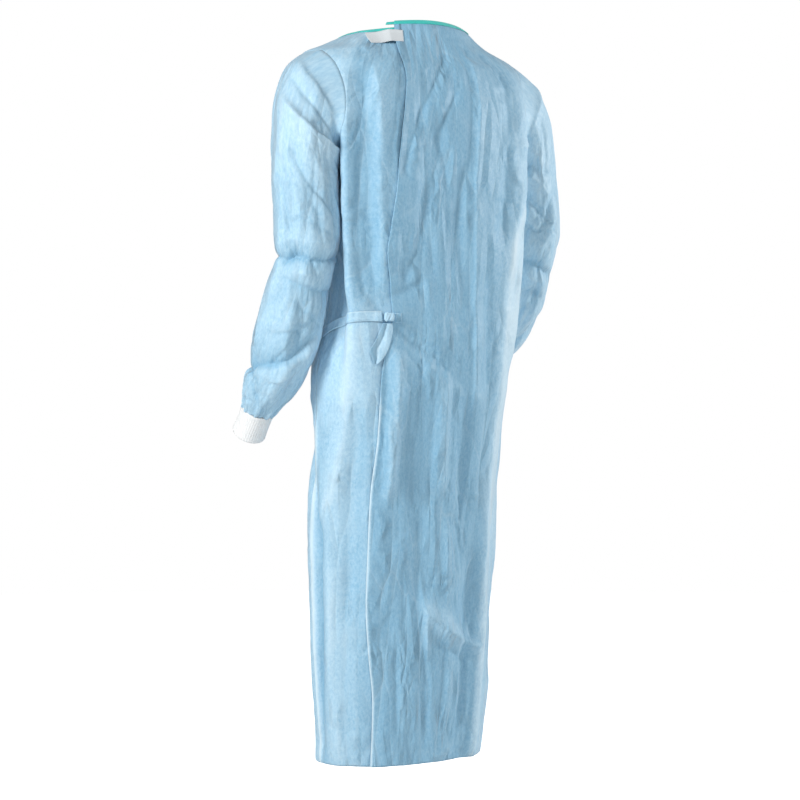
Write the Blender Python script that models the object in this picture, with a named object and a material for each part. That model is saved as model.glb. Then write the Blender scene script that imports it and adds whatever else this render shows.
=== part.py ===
"""Surgical gown in worn pose, held up at the shoulders by its wearer.

Metres, +Z up. The front faces -Y and the wearer's left is +X. The origin is the middle of the
neck opening at shoulder level. Every cut piece is a closed wall of its own.
"""
from math import cos, degrees, exp, hypot, pi, radians, sin

import bmesh
import bpy
from mathutils import Vector

# Driving sizes
CLOTH_WALL = 0.0015
SEAM_GAP = 0.0005
OVERLAP_LIFT = 0.0036
NECK_LIFT = 0.0052
NECK_BACK_HEIGHT = 0.000
NECK_SIDE_HEIGHT = -0.008
NECK_FRONT_HEIGHT = -0.066
CORNER_RISE = 0.004
HEM_BACK_HEIGHT = -1.241
HEM_FRONT_HEIGHT = -1.232
HEM_LEFT_DROP = 0.006

ARMHOLE_TOP = -0.047
ARMHOLE_BOTTOM = -0.245
ARMHOLE_BACK_ANGLE = 26.0
ARMHOLE_FRONT_ANGLE = 25.0
ARMHOLE_STEPS = 9

CUFF_WALL = 0.002
TAPE_WALL = 0.0012
BINDING_WIDTH = 0.008
BINDING_WALL = 0.0012
BINDING_CLEAR = 0.0008
TIE_WIDTH = 0.017
PATCH_WIDTH = 0.016

# Where the cloth is pressed in beside the arm: the angle it starts at and the one it ends at,
# each with the width of its fade.
HOLLOW_BACK = (61.0, 12.0)
HOLLOW_FRONT = (124.0, 18.0)

# The outer back panel's lift runs out between the wearer's right side and this far from it.
LIFT_END_ANGLE = -76.0
LIFT_FADE = 26.0
NECK_LIFT_START = -0.060
NECK_LIFT_FADE = 0.050

# The neckline's shape is lost at this level, and the outer corner rises from this angle on.
YOKE_BOTTOM = -0.115
CORNER_START = 5.0
CORNER_FADE = 35.0

# The point inside the armhole that the sleeve's first ring draws in to.
ARMHOLE_MIDDLE_OUT = 0.185
ARMHOLE_MIDDLE_BACK = 0.030
SLEEVE_GAP = SEAM_GAP * 1.6

CLOTH_COLOUR = (0.44, 0.68, 0.84)
KNIT_COLOUR = (0.90, 0.92, 0.91)
TAPE_COLOUR = (0.06, 0.60, 0.52)
TAB_COLOUR = (0.84, 0.86, 0.88)

# Horizontal sections of the body, top to bottom: the half width, how far the back and the front
# stand from the section's middle, where that middle is, how square the section is, and how far
# the cloth is pressed in beside the arm.
BODY_COLUMNS = ("height", "half_width", "back", "front", "middle", "square", "arm_hollow")
BODY_SECTIONS = (
    (0.012, 0.078, 0.074, 0.074, 0.008, 2.0, 0.000),
    (0.004, 0.087, 0.082, 0.080, 0.008, 2.0, 0.000),
    (-0.004, 0.102, 0.088, 0.084, 0.009, 2.0, 0.000),
    (-0.010, 0.115, 0.090, 0.087, 0.008, 2.0, 0.000),
    (-0.020, 0.138, 0.092, 0.091, 0.009, 1.9, 0.000),
    (-0.030, 0.160, 0.095, 0.094, 0.011, 1.9, 0.000),
    (-0.047, 0.198, 0.101, 0.099, 0.016, 2.1, 0.000),
    (-0.070, 0.208, 0.111, 0.106, 0.020, 2.5, 0.002),
    (-0.100, 0.210, 0.119, 0.113, 0.020, 2.9, 0.010),
    (-0.150, 0.212, 0.126, 0.122, 0.020, 3.0, 0.034),
    (-0.245, 0.213, 0.128, 0.127, 0.020, 3.0, 0.056),
    (-0.370, 0.210, 0.124, 0.122, 0.022, 2.9, 0.056),
    (-0.468, 0.203, 0.119, 0.116, 0.024, 2.7, 0.046),
    (-0.520, 0.199, 0.118, 0.114, 0.026, 2.5, 0.030),
    (-0.600, 0.191, 0.117, 0.114, 0.026, 2.3, 0.008),
    (-0.700, 0.180, 0.114, 0.113, 0.018, 2.1, 0.000),
    (-0.790, 0.181, 0.113, 0.113, 0.004, 2.1, 0.000),
    (-0.883, 0.179, 0.112, 0.112, 0.002, 2.1, 0.000),
    (-0.973, 0.173, 0.108, 0.108, -0.004, 2.1, 0.000),
    (-1.095, 0.167, 0.104, 0.105, -0.008, 2.1, 0.000),
    (-1.190, 0.159, 0.100, 0.102, -0.012, 2.1, 0.000),
    (-1.262, 0.150, 0.096, 0.099, -0.016, 2.1, 0.000),
)


def smooth_step(value):
    value = min(1.0, max(0.0, value))
    return value * value * (3.0 - 2.0 * value)


def column(table, names, name):
    """The named column of a table, with its first column as the key, in rising order."""
    place = names.index(name)
    return sorted((row[0], row[place]) for row in table)


def read_curve(pairs, key):
    """A smooth curve through (key, value) pairs, with no overshoot past its ends."""
    if key <= pairs[0][0]:
        return pairs[0][1]
    if key >= pairs[-1][0]:
        return pairs[-1][1]
    after = next(place for place, pair in enumerate(pairs) if pair[0] >= key)
    before = after - 1
    width = pairs[after][0] - pairs[before][0]
    rise = (pairs[after][1] - pairs[before][1]) / width

    def slope(place):
        if place == 0 or place == len(pairs) - 1:
            return rise
        left = (pairs[place][1] - pairs[place - 1][1]) / (pairs[place][0] - pairs[place - 1][0])
        right = (pairs[place + 1][1] - pairs[place][1]) / (pairs[place + 1][0] - pairs[place][0])
        if left * right <= 0.0:
            return 0.0
        return 2.0 * left * right / (left + right)

    share = (key - pairs[before][0]) / width
    back = 1.0 - share
    return (pairs[before][1] * (1.0 + 2.0 * share) * back * back
            + slope(before) * width * share * back * back
            + pairs[after][1] * share * share * (3.0 - 2.0 * share)
            - slope(after) * width * share * share * back)


BODY_CURVES = {name: column(BODY_SECTIONS, BODY_COLUMNS, name) for name in BODY_COLUMNS[1:]}


def body_point(angle, height):
    """A point of the body's smooth outer form. The angle, in degrees, is 0 at the middle of the
    back and grows towards the wearer's left."""
    size = {name: read_curve(curve, height) for name, curve in BODY_CURVES.items()}
    turn = (angle + 180.0) % 360.0 - 180.0
    across = abs(sin(radians(turn)))
    along = cos(radians(turn))
    depth = size["back"] if along > 0.0 else size["front"]
    power = size["square"]
    reach = ((across / size["half_width"]) ** power + (abs(along) / depth) ** power) ** (-1.0 / power)
    hollow = (smooth_step((abs(turn) - HOLLOW_BACK[0]) / HOLLOW_BACK[1])
              * smooth_step((HOLLOW_FRONT[0] - abs(turn)) / HOLLOW_FRONT[1]))
    reach -= size["arm_hollow"] * hollow
    return Vector((reach * sin(radians(turn)), size["middle"] + reach * along, height))


# Where the free edge of the outer back panel runs, from the neck to the hem.
FREE_EDGE_COLUMNS = ("height", "angle")
FREE_EDGE = (
    (0.010, 43.0),
    (-0.006, 41.5),
    (-0.035, 39.5),
    (-0.052, 37.0),
    (-0.074, 34.0),
    (-0.099, 32.0),
    (-0.141, 32.5),
    (-0.183, 34.0),
    (-0.266, 37.0),
    (-0.339, 41.0),
    (-0.388, 43.5),
    (-0.431, 42.5),
    (-0.493, 42.0),
    (-0.554, 46.5),
    (-0.600, 49.0),
    (-0.700, 51.0),
    (-0.833, 53.5),
    (-0.975, 55.0),
    (-1.054, 53.5),
    (-1.135, 51.0),
    (-1.250, 52.5),
)
FREE_EDGE_CURVE = column(FREE_EDGE, FREE_EDGE_COLUMNS, "angle")

# The largest folds of the body, each along a straight run on the cloth. Depth is how far a
# trough sinks in, and is negative where the cloth stands out as a ridge.
FOLD_COLUMNS = ("angle", "height", "to_angle", "to_height", "spread", "depth")
BODY_FOLDS = (
    (56.0, -0.080, 50.5, -0.200, 0.012, 0.005),
    (50.5, -0.200, 50.5, -0.440, 0.013, 0.008),
    (48.5, -0.103, 46.0, -0.200, 0.006, -0.003),
    (46.0, -0.200, 46.0, -0.430, 0.006, -0.004),
    (57.0, -0.250, 57.5, -0.440, 0.010, -0.003),
    (-6.0, -0.060, 21.5, -0.150, 0.012, 0.005),
    (21.5, -0.150, 33.0, -0.270, 0.012, 0.004),
    (-12.0, -0.090, 9.0, -0.200, 0.012, 0.004),
    (-30.0, -0.060, -27.0, -0.140, 0.010, 0.003),
    (-50.0, -0.070, -47.0, -0.180, 0.010, 0.003),
    (-47.0, -0.200, -43.0, -0.360, 0.014, 0.004),
    (41.0, -0.460, 22.0, -0.437, 0.011, 0.005),
    (40.0, -0.512, 3.5, -0.567, 0.012, 0.005),
    (38.0, -0.545, 22.0, -0.582, 0.010, 0.004),
    (39.5, -0.560, 39.0, -0.800, 0.012, -0.006),
    (46.5, -0.570, 46.5, -0.780, 0.010, 0.004),
    (18.0, -0.600, 14.0, -0.960, 0.022, 0.006),
    (-1.0, -0.600, -4.0, -0.820, 0.020, -0.006),
    (-22.0, -0.560, -26.0, -0.900, 0.024, 0.006),
    (-47.0, -0.760, -50.0, -1.240, 0.020, -0.007),
    (-34.0, -0.900, -36.0, -1.240, 0.022, 0.006),
    (11.0, -0.960, -46.0, -1.060, 0.022, -0.005),
    (70.0, -0.620, 76.0, -0.840, 0.016, -0.005),
    (62.0, -0.640, 64.0, -1.000, 0.018, 0.005),
    (85.0, -0.700, 84.0, -1.240, 0.012, 0.008),
    (75.0, -0.900, 73.0, -1.240, 0.018, -0.004),
    (-74.0, -0.560, -72.0, -1.100, 0.022, 0.006),
    (108.0, -0.640, 112.0, -1.220, 0.022, 0.010),
    (128.0, -0.480, 132.0, -0.760, 0.018, 0.006),
    (138.0, -0.780, 140.0, -1.220, 0.024, 0.009),
    (158.0, -0.540, 160.0, -0.980, 0.020, 0.007),
    (178.0, -0.700, 176.0, -1.220, 0.024, 0.010),
    (170.0, -0.120, 150.0, -0.330, 0.018, 0.005),
    (192.0, -0.120, 212.0, -0.300, 0.018, 0.005),
    (200.0, -0.560, 204.0, -1.100, 0.022, 0.008),
    (224.0, -0.420, 220.0, -0.760, 0.018, 0.006),
    (232.0, -0.760, 230.0, -1.220, 0.024, 0.010),
    (252.0, -0.620, 250.0, -1.220, 0.022, 0.008),
)
FOLD_RADIUS = 0.16
FOLD_TAPER = 0.035


def fold_depth(angle, height):
    """How far the folds sink the cloth at a point of the body."""
    depth = 0.0
    for row in BODY_FOLDS:
        fold = dict(zip(FOLD_COLUMNS, row))
        turn = (angle - fold["angle"] + 180.0) % 360.0 - 180.0
        across = radians(turn) * FOLD_RADIUS
        up = height - fold["height"]
        run_across = radians(fold["to_angle"] - fold["angle"]) * FOLD_RADIUS
        run_up = fold["to_height"] - fold["height"]
        length = hypot(run_across, run_up)
        along = (across * run_across + up * run_up) / length
        aside = (across * run_up - up * run_across) / length
        ends = smooth_step(0.5 + along / FOLD_TAPER) * smooth_step(0.5 + (length - along) / FOLD_TAPER)
        depth += fold["depth"] * ends * exp(-0.5 * (aside / fold["spread"]) ** 2)
    return depth


def body_normal(angle, height):
    """The outward direction of the body's smooth form."""
    turn = body_point(angle + 1.0, height) - body_point(angle - 1.0, height)
    rise = body_point(angle, height + 0.003) - body_point(angle, height - 0.003)
    return rise.cross(turn).normalized()


def cloth_point(angle, height, lift=0.0):
    """A point of the cloth's outer face, with its folds, moved out by the lift."""
    return body_point(angle, height) + body_normal(angle, height) * (lift - fold_depth(angle, height))


def outer_lift(angle, height):
    """How far the outer back panel stands off, so that the inner one passes under it."""
    rise = OVERLAP_LIFT + NECK_LIFT * smooth_step((height - NECK_LIFT_START) / NECK_LIFT_FADE)
    return rise * smooth_step((angle - LIFT_END_ANGLE) / LIFT_FADE)


# Rows of the panels, from the hem up to the neckline beside the shoulder.
LOWER_ROWS = (0.0, 0.055, 0.12, 0.19, 0.26, 0.33, 0.40, 0.465, 0.525, 0.58, 0.63, 0.672, 0.708,
              0.738, 0.765, 0.79, 0.83, 0.87, 0.915, 0.96)
SHOULDER_ROWS = (-0.040, -0.032, -0.024, -0.017, -0.012, NECK_SIDE_HEIGHT)
ARMHOLE_ROWS = tuple(
    (ARMHOLE_TOP + ARMHOLE_BOTTOM) / 2 - (ARMHOLE_TOP - ARMHOLE_BOTTOM) / 2 * cos(pi * step / ARMHOLE_STEPS)
    for step in range(ARMHOLE_STEPS + 1))


def hem_height(angle):
    front = 0.5 - 0.5 * cos(radians(angle))
    drop = HEM_LEFT_DROP * max(0.0, sin(radians(angle)))
    return HEM_BACK_HEIGHT + (HEM_FRONT_HEIGHT - HEM_BACK_HEIGHT) * front - drop


def neck_height(angle, corner=False):
    along = cos(radians(angle))
    end = NECK_BACK_HEIGHT if along > 0.0 else NECK_FRONT_HEIGHT
    height = NECK_SIDE_HEIGHT + (end - NECK_SIDE_HEIGHT) * along * along
    if corner:
        height += CORNER_RISE * smooth_step((angle - CORNER_START) / CORNER_FADE)
    return height


def row_height(row, angle, corner=False):
    """The height of a panel's row at an angle. A row is a share of the skirt, or a level."""
    if row >= 0.0:
        return hem_height(angle) + (ARMHOLE_BOTTOM - hem_height(angle)) * row
    share = smooth_step((row - YOKE_BOTTOM) / (NECK_SIDE_HEIGHT - YOKE_BOTTOM))
    return row + (neck_height(angle, corner) - NECK_SIDE_HEIGHT) * share


def armhole_angle(row, widest):
    """Half the armhole's opening at a row, in degrees from the side of the body."""
    half = (ARMHOLE_TOP - ARMHOLE_BOTTOM) / 2
    share = (row - (ARMHOLE_TOP + ARMHOLE_BOTTOM) / 2) / half
    return widest * max(0.0, 1.0 - share * share) ** 0.5


PANEL_ROWS = LOWER_ROWS + ARMHOLE_ROWS + SHOULDER_ROWS


def set_material(thing, name, colour, roughness):
    material = bpy.data.materials.get(name)
    if material is None:
        material = bpy.data.materials.new(name)
        material.use_nodes = True
        shader = material.node_tree.nodes["Principled BSDF"]
        shader.inputs["Base Color"].default_value = (*colour, 1.0)
        shader.inputs["Roughness"].default_value = roughness
        shader.inputs["Metallic"].default_value = 0.0
    thing.data.materials.append(material)


def cloth(thing):
    set_material(thing, "gown_cloth", CLOTH_COLOUR, 0.85)


def add_object(name, shape):
    mesh = bpy.data.meshes.new(name)
    shape.to_mesh(mesh)
    shape.free()
    thing = bpy.data.objects.new(name, mesh)
    bpy.context.scene.collection.objects.link(thing)
    mesh.shade_smooth()
    return thing


def make_wall(name, outer_rows, inner_rows, ring=False):
    """A closed wall between two faces of points. The rows run from low to high, and along each
    one towards the wearer's right at the back. A ring's rows close on themselves."""
    shape = bmesh.new()
    outer = [[shape.verts.new(point) for point in row] for row in outer_rows]
    inner = [[shape.verts.new(point) for point in row] for row in inner_rows]
    across = len(outer[0])
    top = len(outer) - 1
    for here in range(across if ring else across - 1):
        after = (here + 1) % across
        for low in range(top):
            high = low + 1
            shape.faces.new((outer[low][here], outer[low][after], outer[high][after], outer[high][here]))
            shape.faces.new((inner[low][here], inner[high][here], inner[high][after], inner[low][after]))
        shape.faces.new((outer[0][after], outer[0][here], inner[0][here], inner[0][after]))
        shape.faces.new((outer[top][here], outer[top][after], inner[top][after], inner[top][here]))
    if not ring:
        last = across - 1
        for low in range(top):
            high = low + 1
            shape.faces.new((outer[low][0], outer[high][0], inner[high][0], inner[low][0]))
            shape.faces.new((outer[high][last], outer[low][last], inner[low][last], inner[high][last]))
    return add_object(name, shape)


def make_body_wall(name, rows, thickness):
    """A wall on the body's form. Each row holds the angle, height and lift of its points."""
    outer = [[cloth_point(angle, height, lift) for angle, height, lift in row] for row in rows]
    inner = [[cloth_point(angle, height, lift - thickness) for angle, height, lift in row]
             for row in rows]
    return make_wall(name, outer, inner)


# Angles of the columns of the back panels. Both have the shared ones, where they overlap.
SHARED_COLUMNS = (30.0, 24.0, 17.0, 9.0, 0.0, -10.0, -20.0, -29.0, -38.0, -47.0)
LEFT_COLUMNS = (90.0, 84.0, 78.0, 73.0, 69.0, 65.5, 62.0, 58.5, 55.0, 52.0, 49.5, 47.5, 46.0, 44.0,
                40.5, 35.5) + SHARED_COLUMNS
LEFT_FIXED_ANGLE = 58.5
RIGHT_COLUMNS = (-52.5, -58.0, -63.0, -68.0, -75.0, -82.5, -90.0)
RIGHT_FIXED_ANGLE = -58.0
FREE_EDGE_SHARES = (0.0, 0.15, 0.35, 0.6, 0.8)
FREE_EDGE_MIDDLE = 42.0
FRONT_COLUMNS = 20
SEAM_ANGLE = degrees(SEAM_GAP / 0.18)


def in_armhole(row):
    return ARMHOLE_BOTTOM < row < ARMHOLE_TOP


def left_angles(row):
    edge = 90.0 - SEAM_ANGLE / 2
    if in_armhole(row):
        edge = 90.0 - armhole_angle(row, ARMHOLE_BACK_ANGLE)
    share = (edge - LEFT_FIXED_ANGLE) / (90.0 - LEFT_FIXED_ANGLE)
    return [angle if angle <= LEFT_FIXED_ANGLE
            else LEFT_FIXED_ANGLE + (angle - LEFT_FIXED_ANGLE) * share
            for angle in LEFT_COLUMNS]


def right_angles(row):
    side = -90.0 + SEAM_ANGLE / 2
    if in_armhole(row):
        side = -90.0 + armhole_angle(row, ARMHOLE_BACK_ANGLE)
    free = read_curve(FREE_EDGE_CURVE, row_height(row, FREE_EDGE_MIDDLE, True))
    stretch = (side - RIGHT_FIXED_ANGLE) / (-90.0 - RIGHT_FIXED_ANGLE)
    angles = [free + (SHARED_COLUMNS[0] - free) * share for share in FREE_EDGE_SHARES]
    angles += SHARED_COLUMNS
    angles += [angle if angle >= RIGHT_FIXED_ANGLE
               else RIGHT_FIXED_ANGLE + (angle - RIGHT_FIXED_ANGLE) * stretch
               for angle in RIGHT_COLUMNS]
    return angles


def front_angles(row):
    edge = 90.0 + SEAM_ANGLE / 2
    if in_armhole(row):
        edge = 90.0 + armhole_angle(row, ARMHOLE_FRONT_ANGLE)
    return [360.0 - edge - (360.0 - 2 * edge) * step / FRONT_COLUMNS
            for step in range(FRONT_COLUMNS + 1)]


def make_panels():
    rows = [[(angle, row_height(row, angle), 0.0) for angle in front_angles(row)]
            for row in PANEL_ROWS]
    cloth(make_body_wall("front_panel", rows, CLOTH_WALL))
    rows = [[(angle, row_height(row, angle), 0.0) for angle in left_angles(row)]
            for row in PANEL_ROWS]
    cloth(make_body_wall("back_panel_left", rows, CLOTH_WALL))
    rows = []
    for row in PANEL_ROWS:
        points = [(angle, row_height(row, angle, True)) for angle in right_angles(row)]
        rows.append([(angle, height, outer_lift(angle, height)) for angle, height in points])
    cloth(make_body_wall("back_panel_right", rows, CLOTH_WALL))


# Sections of the sleeves past the armhole: the middle, half the size across and front to back,
# the tip of the section away from upright, and how far the section leans forward.
SLEEVE_COLUMNS = ("out", "back", "height", "across", "deep", "tip", "lean")
LEFT_SLEEVE = (
    (0.1945, 0.024, -0.1555, 0.0970, 0.078, 18.9, 0.0),
    (0.206, 0.030, -0.171, 0.0885, 0.073, 27.7, 0.0),
    (0.2135, 0.038, -0.1925, 0.0775, 0.067, 39.4, 0.0),
    (0.216, 0.046, -0.221, 0.0641, 0.062, 55.8, 0.0),
    (0.2175, 0.052, -0.2575, 0.0574, 0.059, 77.4, 0.0),
    (0.218, 0.056, -0.298, 0.0566, 0.057, 86.0, 0.0),
    (0.2185, 0.059, -0.335, 0.0562, 0.056, 89.0, 0.0),
    (0.2195, 0.060, -0.365, 0.0555, 0.055, 90.0, 5.0),
    (0.221, 0.058, -0.390, 0.054, 0.053, 90.0, 12.0),
    (0.223, 0.052, -0.415, 0.050, 0.050, 90.0, 20.0),
    (0.226, 0.046, -0.440, 0.052, 0.052, 90.0, 26.0),
    (0.230, 0.039, -0.468, 0.0535, 0.053, 90.0, 28.0),
    (0.234, 0.030, -0.500, 0.0555, 0.054, 90.0, 30.0),
    (0.238, 0.017, -0.532, 0.056, 0.054, 90.0, 30.0),
    (0.241, 0.002, -0.562, 0.053, 0.052, 90.0, 31.0),
    (0.244, -0.013, -0.589, 0.050, 0.048, 90.0, 32.0),
    (0.247, -0.029, -0.613, 0.044, 0.042, 90.0, 36.0),
    (0.249, -0.042, -0.631, 0.035, 0.034, 90.0, 40.0),
    (0.251, -0.052, -0.642, 0.029, 0.029, 90.0, 42.0),
)
RIGHT_SLEEVE = LEFT_SLEEVE[:7] + (
    (0.214, 0.058, -0.365, 0.0530, 0.055, 90.0, 5.0),
    (0.211, 0.053, -0.390, 0.0495, 0.053, 90.0, 16.0),
    (0.216, 0.042, -0.412, 0.0475, 0.050, 90.0, 28.0),
    (0.222, 0.024, -0.433, 0.0495, 0.051, 90.0, 40.0),
    (0.225, 0.001, -0.454, 0.052, 0.052, 90.0, 46.0),
    (0.226, -0.025, -0.476, 0.053, 0.053, 90.0, 48.0),
    (0.226, -0.050, -0.497, 0.053, 0.053, 90.0, 48.0),
    (0.225, -0.076, -0.518, 0.051, 0.051, 90.0, 48.0),
    (0.223, -0.100, -0.538, 0.048, 0.047, 90.0, 48.0),
    (0.221, -0.121, -0.556, 0.042, 0.041, 90.0, 49.0),
    (0.219, -0.137, -0.570, 0.034, 0.034, 90.0, 50.0),
    (0.218, -0.148, -0.579, 0.029, 0.029, 90.0, 50.0),
)
CUFF_LENGTH = 0.055
CUFF_STEPS = 3
SLEEVE_POINTS = 2 * ARMHOLE_STEPS
SLEEVE_FOLD_COLUMNS = ("turn", "section", "to_turn", "to_section", "spread", "depth")
SLEEVE_FOLDS = (
    (25.0, 0.6, 95.0, 1.2, 0.5, 0.006),
    (20.0, 2.4, 125.0, 2.4, 0.6, 0.008),
    (330.0, 1.2, 250.0, 2.0, 0.6, 0.006),
    (20.0, 8.9, 150.0, 9.3, 0.45, 0.005),
    (200.0, 9.6, 330.0, 9.2, 0.5, 0.005),
    (30.0, 12.6, 120.0, 14.4, 0.6, 0.005),
    (220.0, 12.5, 300.0, 13.5, 0.6, 0.004),
)
TURN_SCALE = 40.0


def tube_point(section, turn, side, sink=0.0):
    """A point of a sleeve's or cuff's section. The turn is 0 at its tip, 90 at the back."""
    tip, lean = radians(section["tip"]), radians(section["lean"])
    outward = Vector((sin(tip), 0.0, cos(tip)))
    forward = Vector((cos(tip), 0.0, -sin(tip)))
    backward = Vector((0.0, cos(lean), 0.0)) + forward * sin(lean)
    middle = Vector((section["out"], section["back"], section["height"]))
    point = (middle + outward * (section["across"] - sink) * cos(radians(turn))
             + backward * (section["deep"] - sink) * sin(radians(turn)))
    return Vector((point.x * side, point.y, point.z))


def sleeve_fold_depth(turn, place):
    depth = 0.0
    for row in SLEEVE_FOLDS:
        fold = dict(zip(SLEEVE_FOLD_COLUMNS, row))
        across = ((turn - fold["turn"] + 180.0) % 360.0 - 180.0) / TURN_SCALE
        up = place - fold["section"]
        run_across = (fold["to_turn"] - fold["turn"]) / TURN_SCALE
        run_up = fold["to_section"] - fold["section"]
        length = hypot(run_across, run_up)
        along = (across * run_across + up * run_up) / length
        aside = (across * run_up - up * run_across) / length
        ends = smooth_step(0.5 + along) * smooth_step(0.5 + length - along)
        depth += fold["depth"] * ends * exp(-0.5 * (aside / fold["spread"]) ** 2)
    return depth


def armhole_ring(side, sink=0.0):
    """The sleeve's first ring: the armhole's edge, a seam gap inside it."""
    middle = Vector((ARMHOLE_MIDDLE_OUT * side, ARMHOLE_MIDDLE_BACK,
                     (ARMHOLE_TOP + ARMHOLE_BOTTOM) / 2))
    points = []
    for step in range(SLEEVE_POINTS):
        back = step <= ARMHOLE_STEPS
        row = ARMHOLE_ROWS[ARMHOLE_STEPS - step] if back else ARMHOLE_ROWS[step - ARMHOLE_STEPS]
        widest = ARMHOLE_BACK_ANGLE if back else ARMHOLE_FRONT_ANGLE
        opening = armhole_angle(row, widest)
        angle = side * (90.0 - opening if back else 90.0 + opening)
        edge = cloth_point(angle, row_height(row, angle))
        points.append(edge + (middle - edge).normalized() * (SLEEVE_GAP + sink))
    return points


def make_tube(name, rings, side):
    """A closed wall between an outer and an inner set of rings, listed from the top down."""
    faces = []
    for rows in rings:
        rows = rows[::-1]
        faces.append([row[::-1] for row in rows] if side < 0 else rows)
    return make_wall(name, faces[0], faces[1], ring=True)


def make_sleeve(label, side, sections):
    rings = []
    for wall in (0.0, CLOTH_WALL):
        rows = [armhole_ring(side, wall)]
        for place, values in enumerate(sections):
            section = dict(zip(SLEEVE_COLUMNS, values))
            turns = [360.0 * step / SLEEVE_POINTS for step in range(SLEEVE_POINTS)]
            rows.append([tube_point(section, turn, side, sleeve_fold_depth(turn, place) + wall)
                         for turn in turns])
        rings.append(rows)
    cloth(make_tube("sleeve_" + label, rings, side))


def make_cuff(label, side, wrist):
    """The knitted cuff, running straight on from the sleeve's last section."""
    section = dict(zip(SLEEVE_COLUMNS, wrist))
    lean = radians(section["lean"])
    rings = []
    for wall in (0.0, CUFF_WALL):
        rows = []
        for step in range(CUFF_STEPS + 1):
            reach = SEAM_GAP + CUFF_LENGTH * step / CUFF_STEPS
            place = dict(section)
            place["back"] -= reach * sin(lean)
            place["height"] -= reach * cos(lean)
            rows.append([tube_point(place, 360.0 * turn / SLEEVE_POINTS, side, wall)
                         for turn in range(SLEEVE_POINTS)])
        rings.append(rows)
    set_material(make_tube("cuff_" + label, rings, side), "cuff_knit", KNIT_COLOUR, 0.9)


def neck_frame(angle, corner):
    """The neckline's point at an angle, with the directions out of and up along the cloth."""
    height = neck_height(angle, corner)
    lift = outer_lift(angle, height) if corner else 0.0
    point = cloth_point(angle, height, lift)
    below = cloth_point(angle, height - 0.004, lift)
    upward = (point - below).normalized()
    outward = body_normal(angle, height)
    outward = (outward - upward * outward.dot(upward)).normalized()
    return point, outward, upward


def below_neck(angle, corner, out, down):
    """A point a little below the neckline, moved out of the cloth."""
    rise = neck_frame(angle, corner)[2].z
    height = neck_height(angle, corner) - down * rise
    lift = outer_lift(angle, height) if corner else 0.0
    return cloth_point(angle, height, lift + out)


def make_bar(name, stations):
    """A closed bar through rings of points, with flat ends."""
    around = len(stations[0])
    shape = bmesh.new()
    bmesh.ops.create_grid(shape, x_segments=around, y_segments=len(stations) - 1, size=0.5)
    for vertex in shape.verts:
        ring_place = round((vertex.co.x + 0.5) * around) % around
        station = round((vertex.co.y + 0.5) * (len(stations) - 1))
        vertex.co = stations[station][ring_place]
    bmesh.ops.remove_doubles(shape, verts=shape.verts, dist=0.00001)
    ends = [edge for edge in shape.edges if edge.is_boundary]
    bmesh.ops.holes_fill(shape, edges=ends, sides=0)
    bmesh.ops.triangulate(shape, faces=[face for face in shape.faces if len(face.verts) > 4])
    bmesh.ops.recalc_face_normals(shape, faces=shape.faces)
    return add_object(name, shape)


def make_neck_binding():
    """The tape folded over the neckline, from the hidden corner round to the outer one."""
    outside = BINDING_CLEAR + BINDING_WALL
    inside = CLOTH_WALL + BINDING_CLEAR
    inmost = inside + BINDING_WALL
    half = BINDING_WIDTH / 2
    above = ((outside, outside), (-inmost, outside))
    under = ((-inside, BINDING_CLEAR), (BINDING_CLEAR, BINDING_CLEAR))
    top = PANEL_ROWS[-1]
    places = [(angle, False) for angle in left_angles(top)[::-1] + front_angles(top)[::-1]]
    places += [(angle, True) for angle in right_angles(top)[::-1]]
    stations = []
    for angle, corner in places:
        point, outward, upward = neck_frame(angle, corner)
        over = [point + outward * out + upward * up for out, up in above]
        fold = [point + outward * out + upward * up for out, up in under]
        front = [below_neck(angle, corner, outside, down) for down in (BINDING_WIDTH, half)]
        back = [below_neck(angle, corner, -inmost, down) for down in (half, BINDING_WIDTH)]
        lining = [below_neck(angle, corner, -inside, down) for down in (BINDING_WIDTH, half)]
        facing = [below_neck(angle, corner, BINDING_CLEAR, down) for down in (half, BINDING_WIDTH)]
        stations.append(front + over + back + lining + fold + facing)
    binding = make_bar("neck_binding", stations)
    set_material(binding, "neck_tape", TAPE_COLOUR, 0.6)


TAPE_END_START = -2.0
TAPE_END_STOP = 51.0
TAPE_END_STEPS = 12
TAPE_END_TOP = 0.0028
TAPE_END_RISE = 0.0045


def make_neck_tape_end():
    """A second length of tape inside the outer corner, its end free past it."""
    near = CLOTH_WALL + 2 * BINDING_CLEAR + BINDING_WALL
    stations = []
    for step in range(TAPE_END_STEPS + 1):
        share = step / TAPE_END_STEPS
        angle = TAPE_END_START + (TAPE_END_STOP - TAPE_END_START) * share
        point, outward, upward = neck_frame(angle, True)
        top = TAPE_END_TOP + TAPE_END_RISE * share
        low = top - BINDING_WIDTH
        stations.append([point - outward * near + upward * low, point - outward * near + upward * top,
                         point - outward * (near + TAPE_WALL) + upward * top,
                         point - outward * (near + TAPE_WALL) + upward * low])
    tape = make_bar("neck_tape_end", stations)
    set_material(tape, "neck_tape", TAPE_COLOUR, 0.6)


# The tab's stations from its free end to its sewn one: the angle at its top and bottom edges,
# and how much of the outer panel's lift it has there.
TAB_COLUMNS = ("top_angle", "bottom_angle", "over")
TAB_STATIONS = (
    (66.0, 56.5, 0.0),
    (61.5, 53.5, 0.05),
    (57.0, 50.5, 0.15),
    (52.5, 47.5, 0.40),
    (48.5, 45.0, 0.75),
    (45.0, 42.8, 1.0),
    (42.0, 40.3, 1.0),
    (38.0, 37.2, 1.0),
    (33.5, 33.5, 1.0),
)
TAB_TOP = -0.0135
TAB_BOTTOM = -0.0345
TAB_CLEAR = 0.0008


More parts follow.
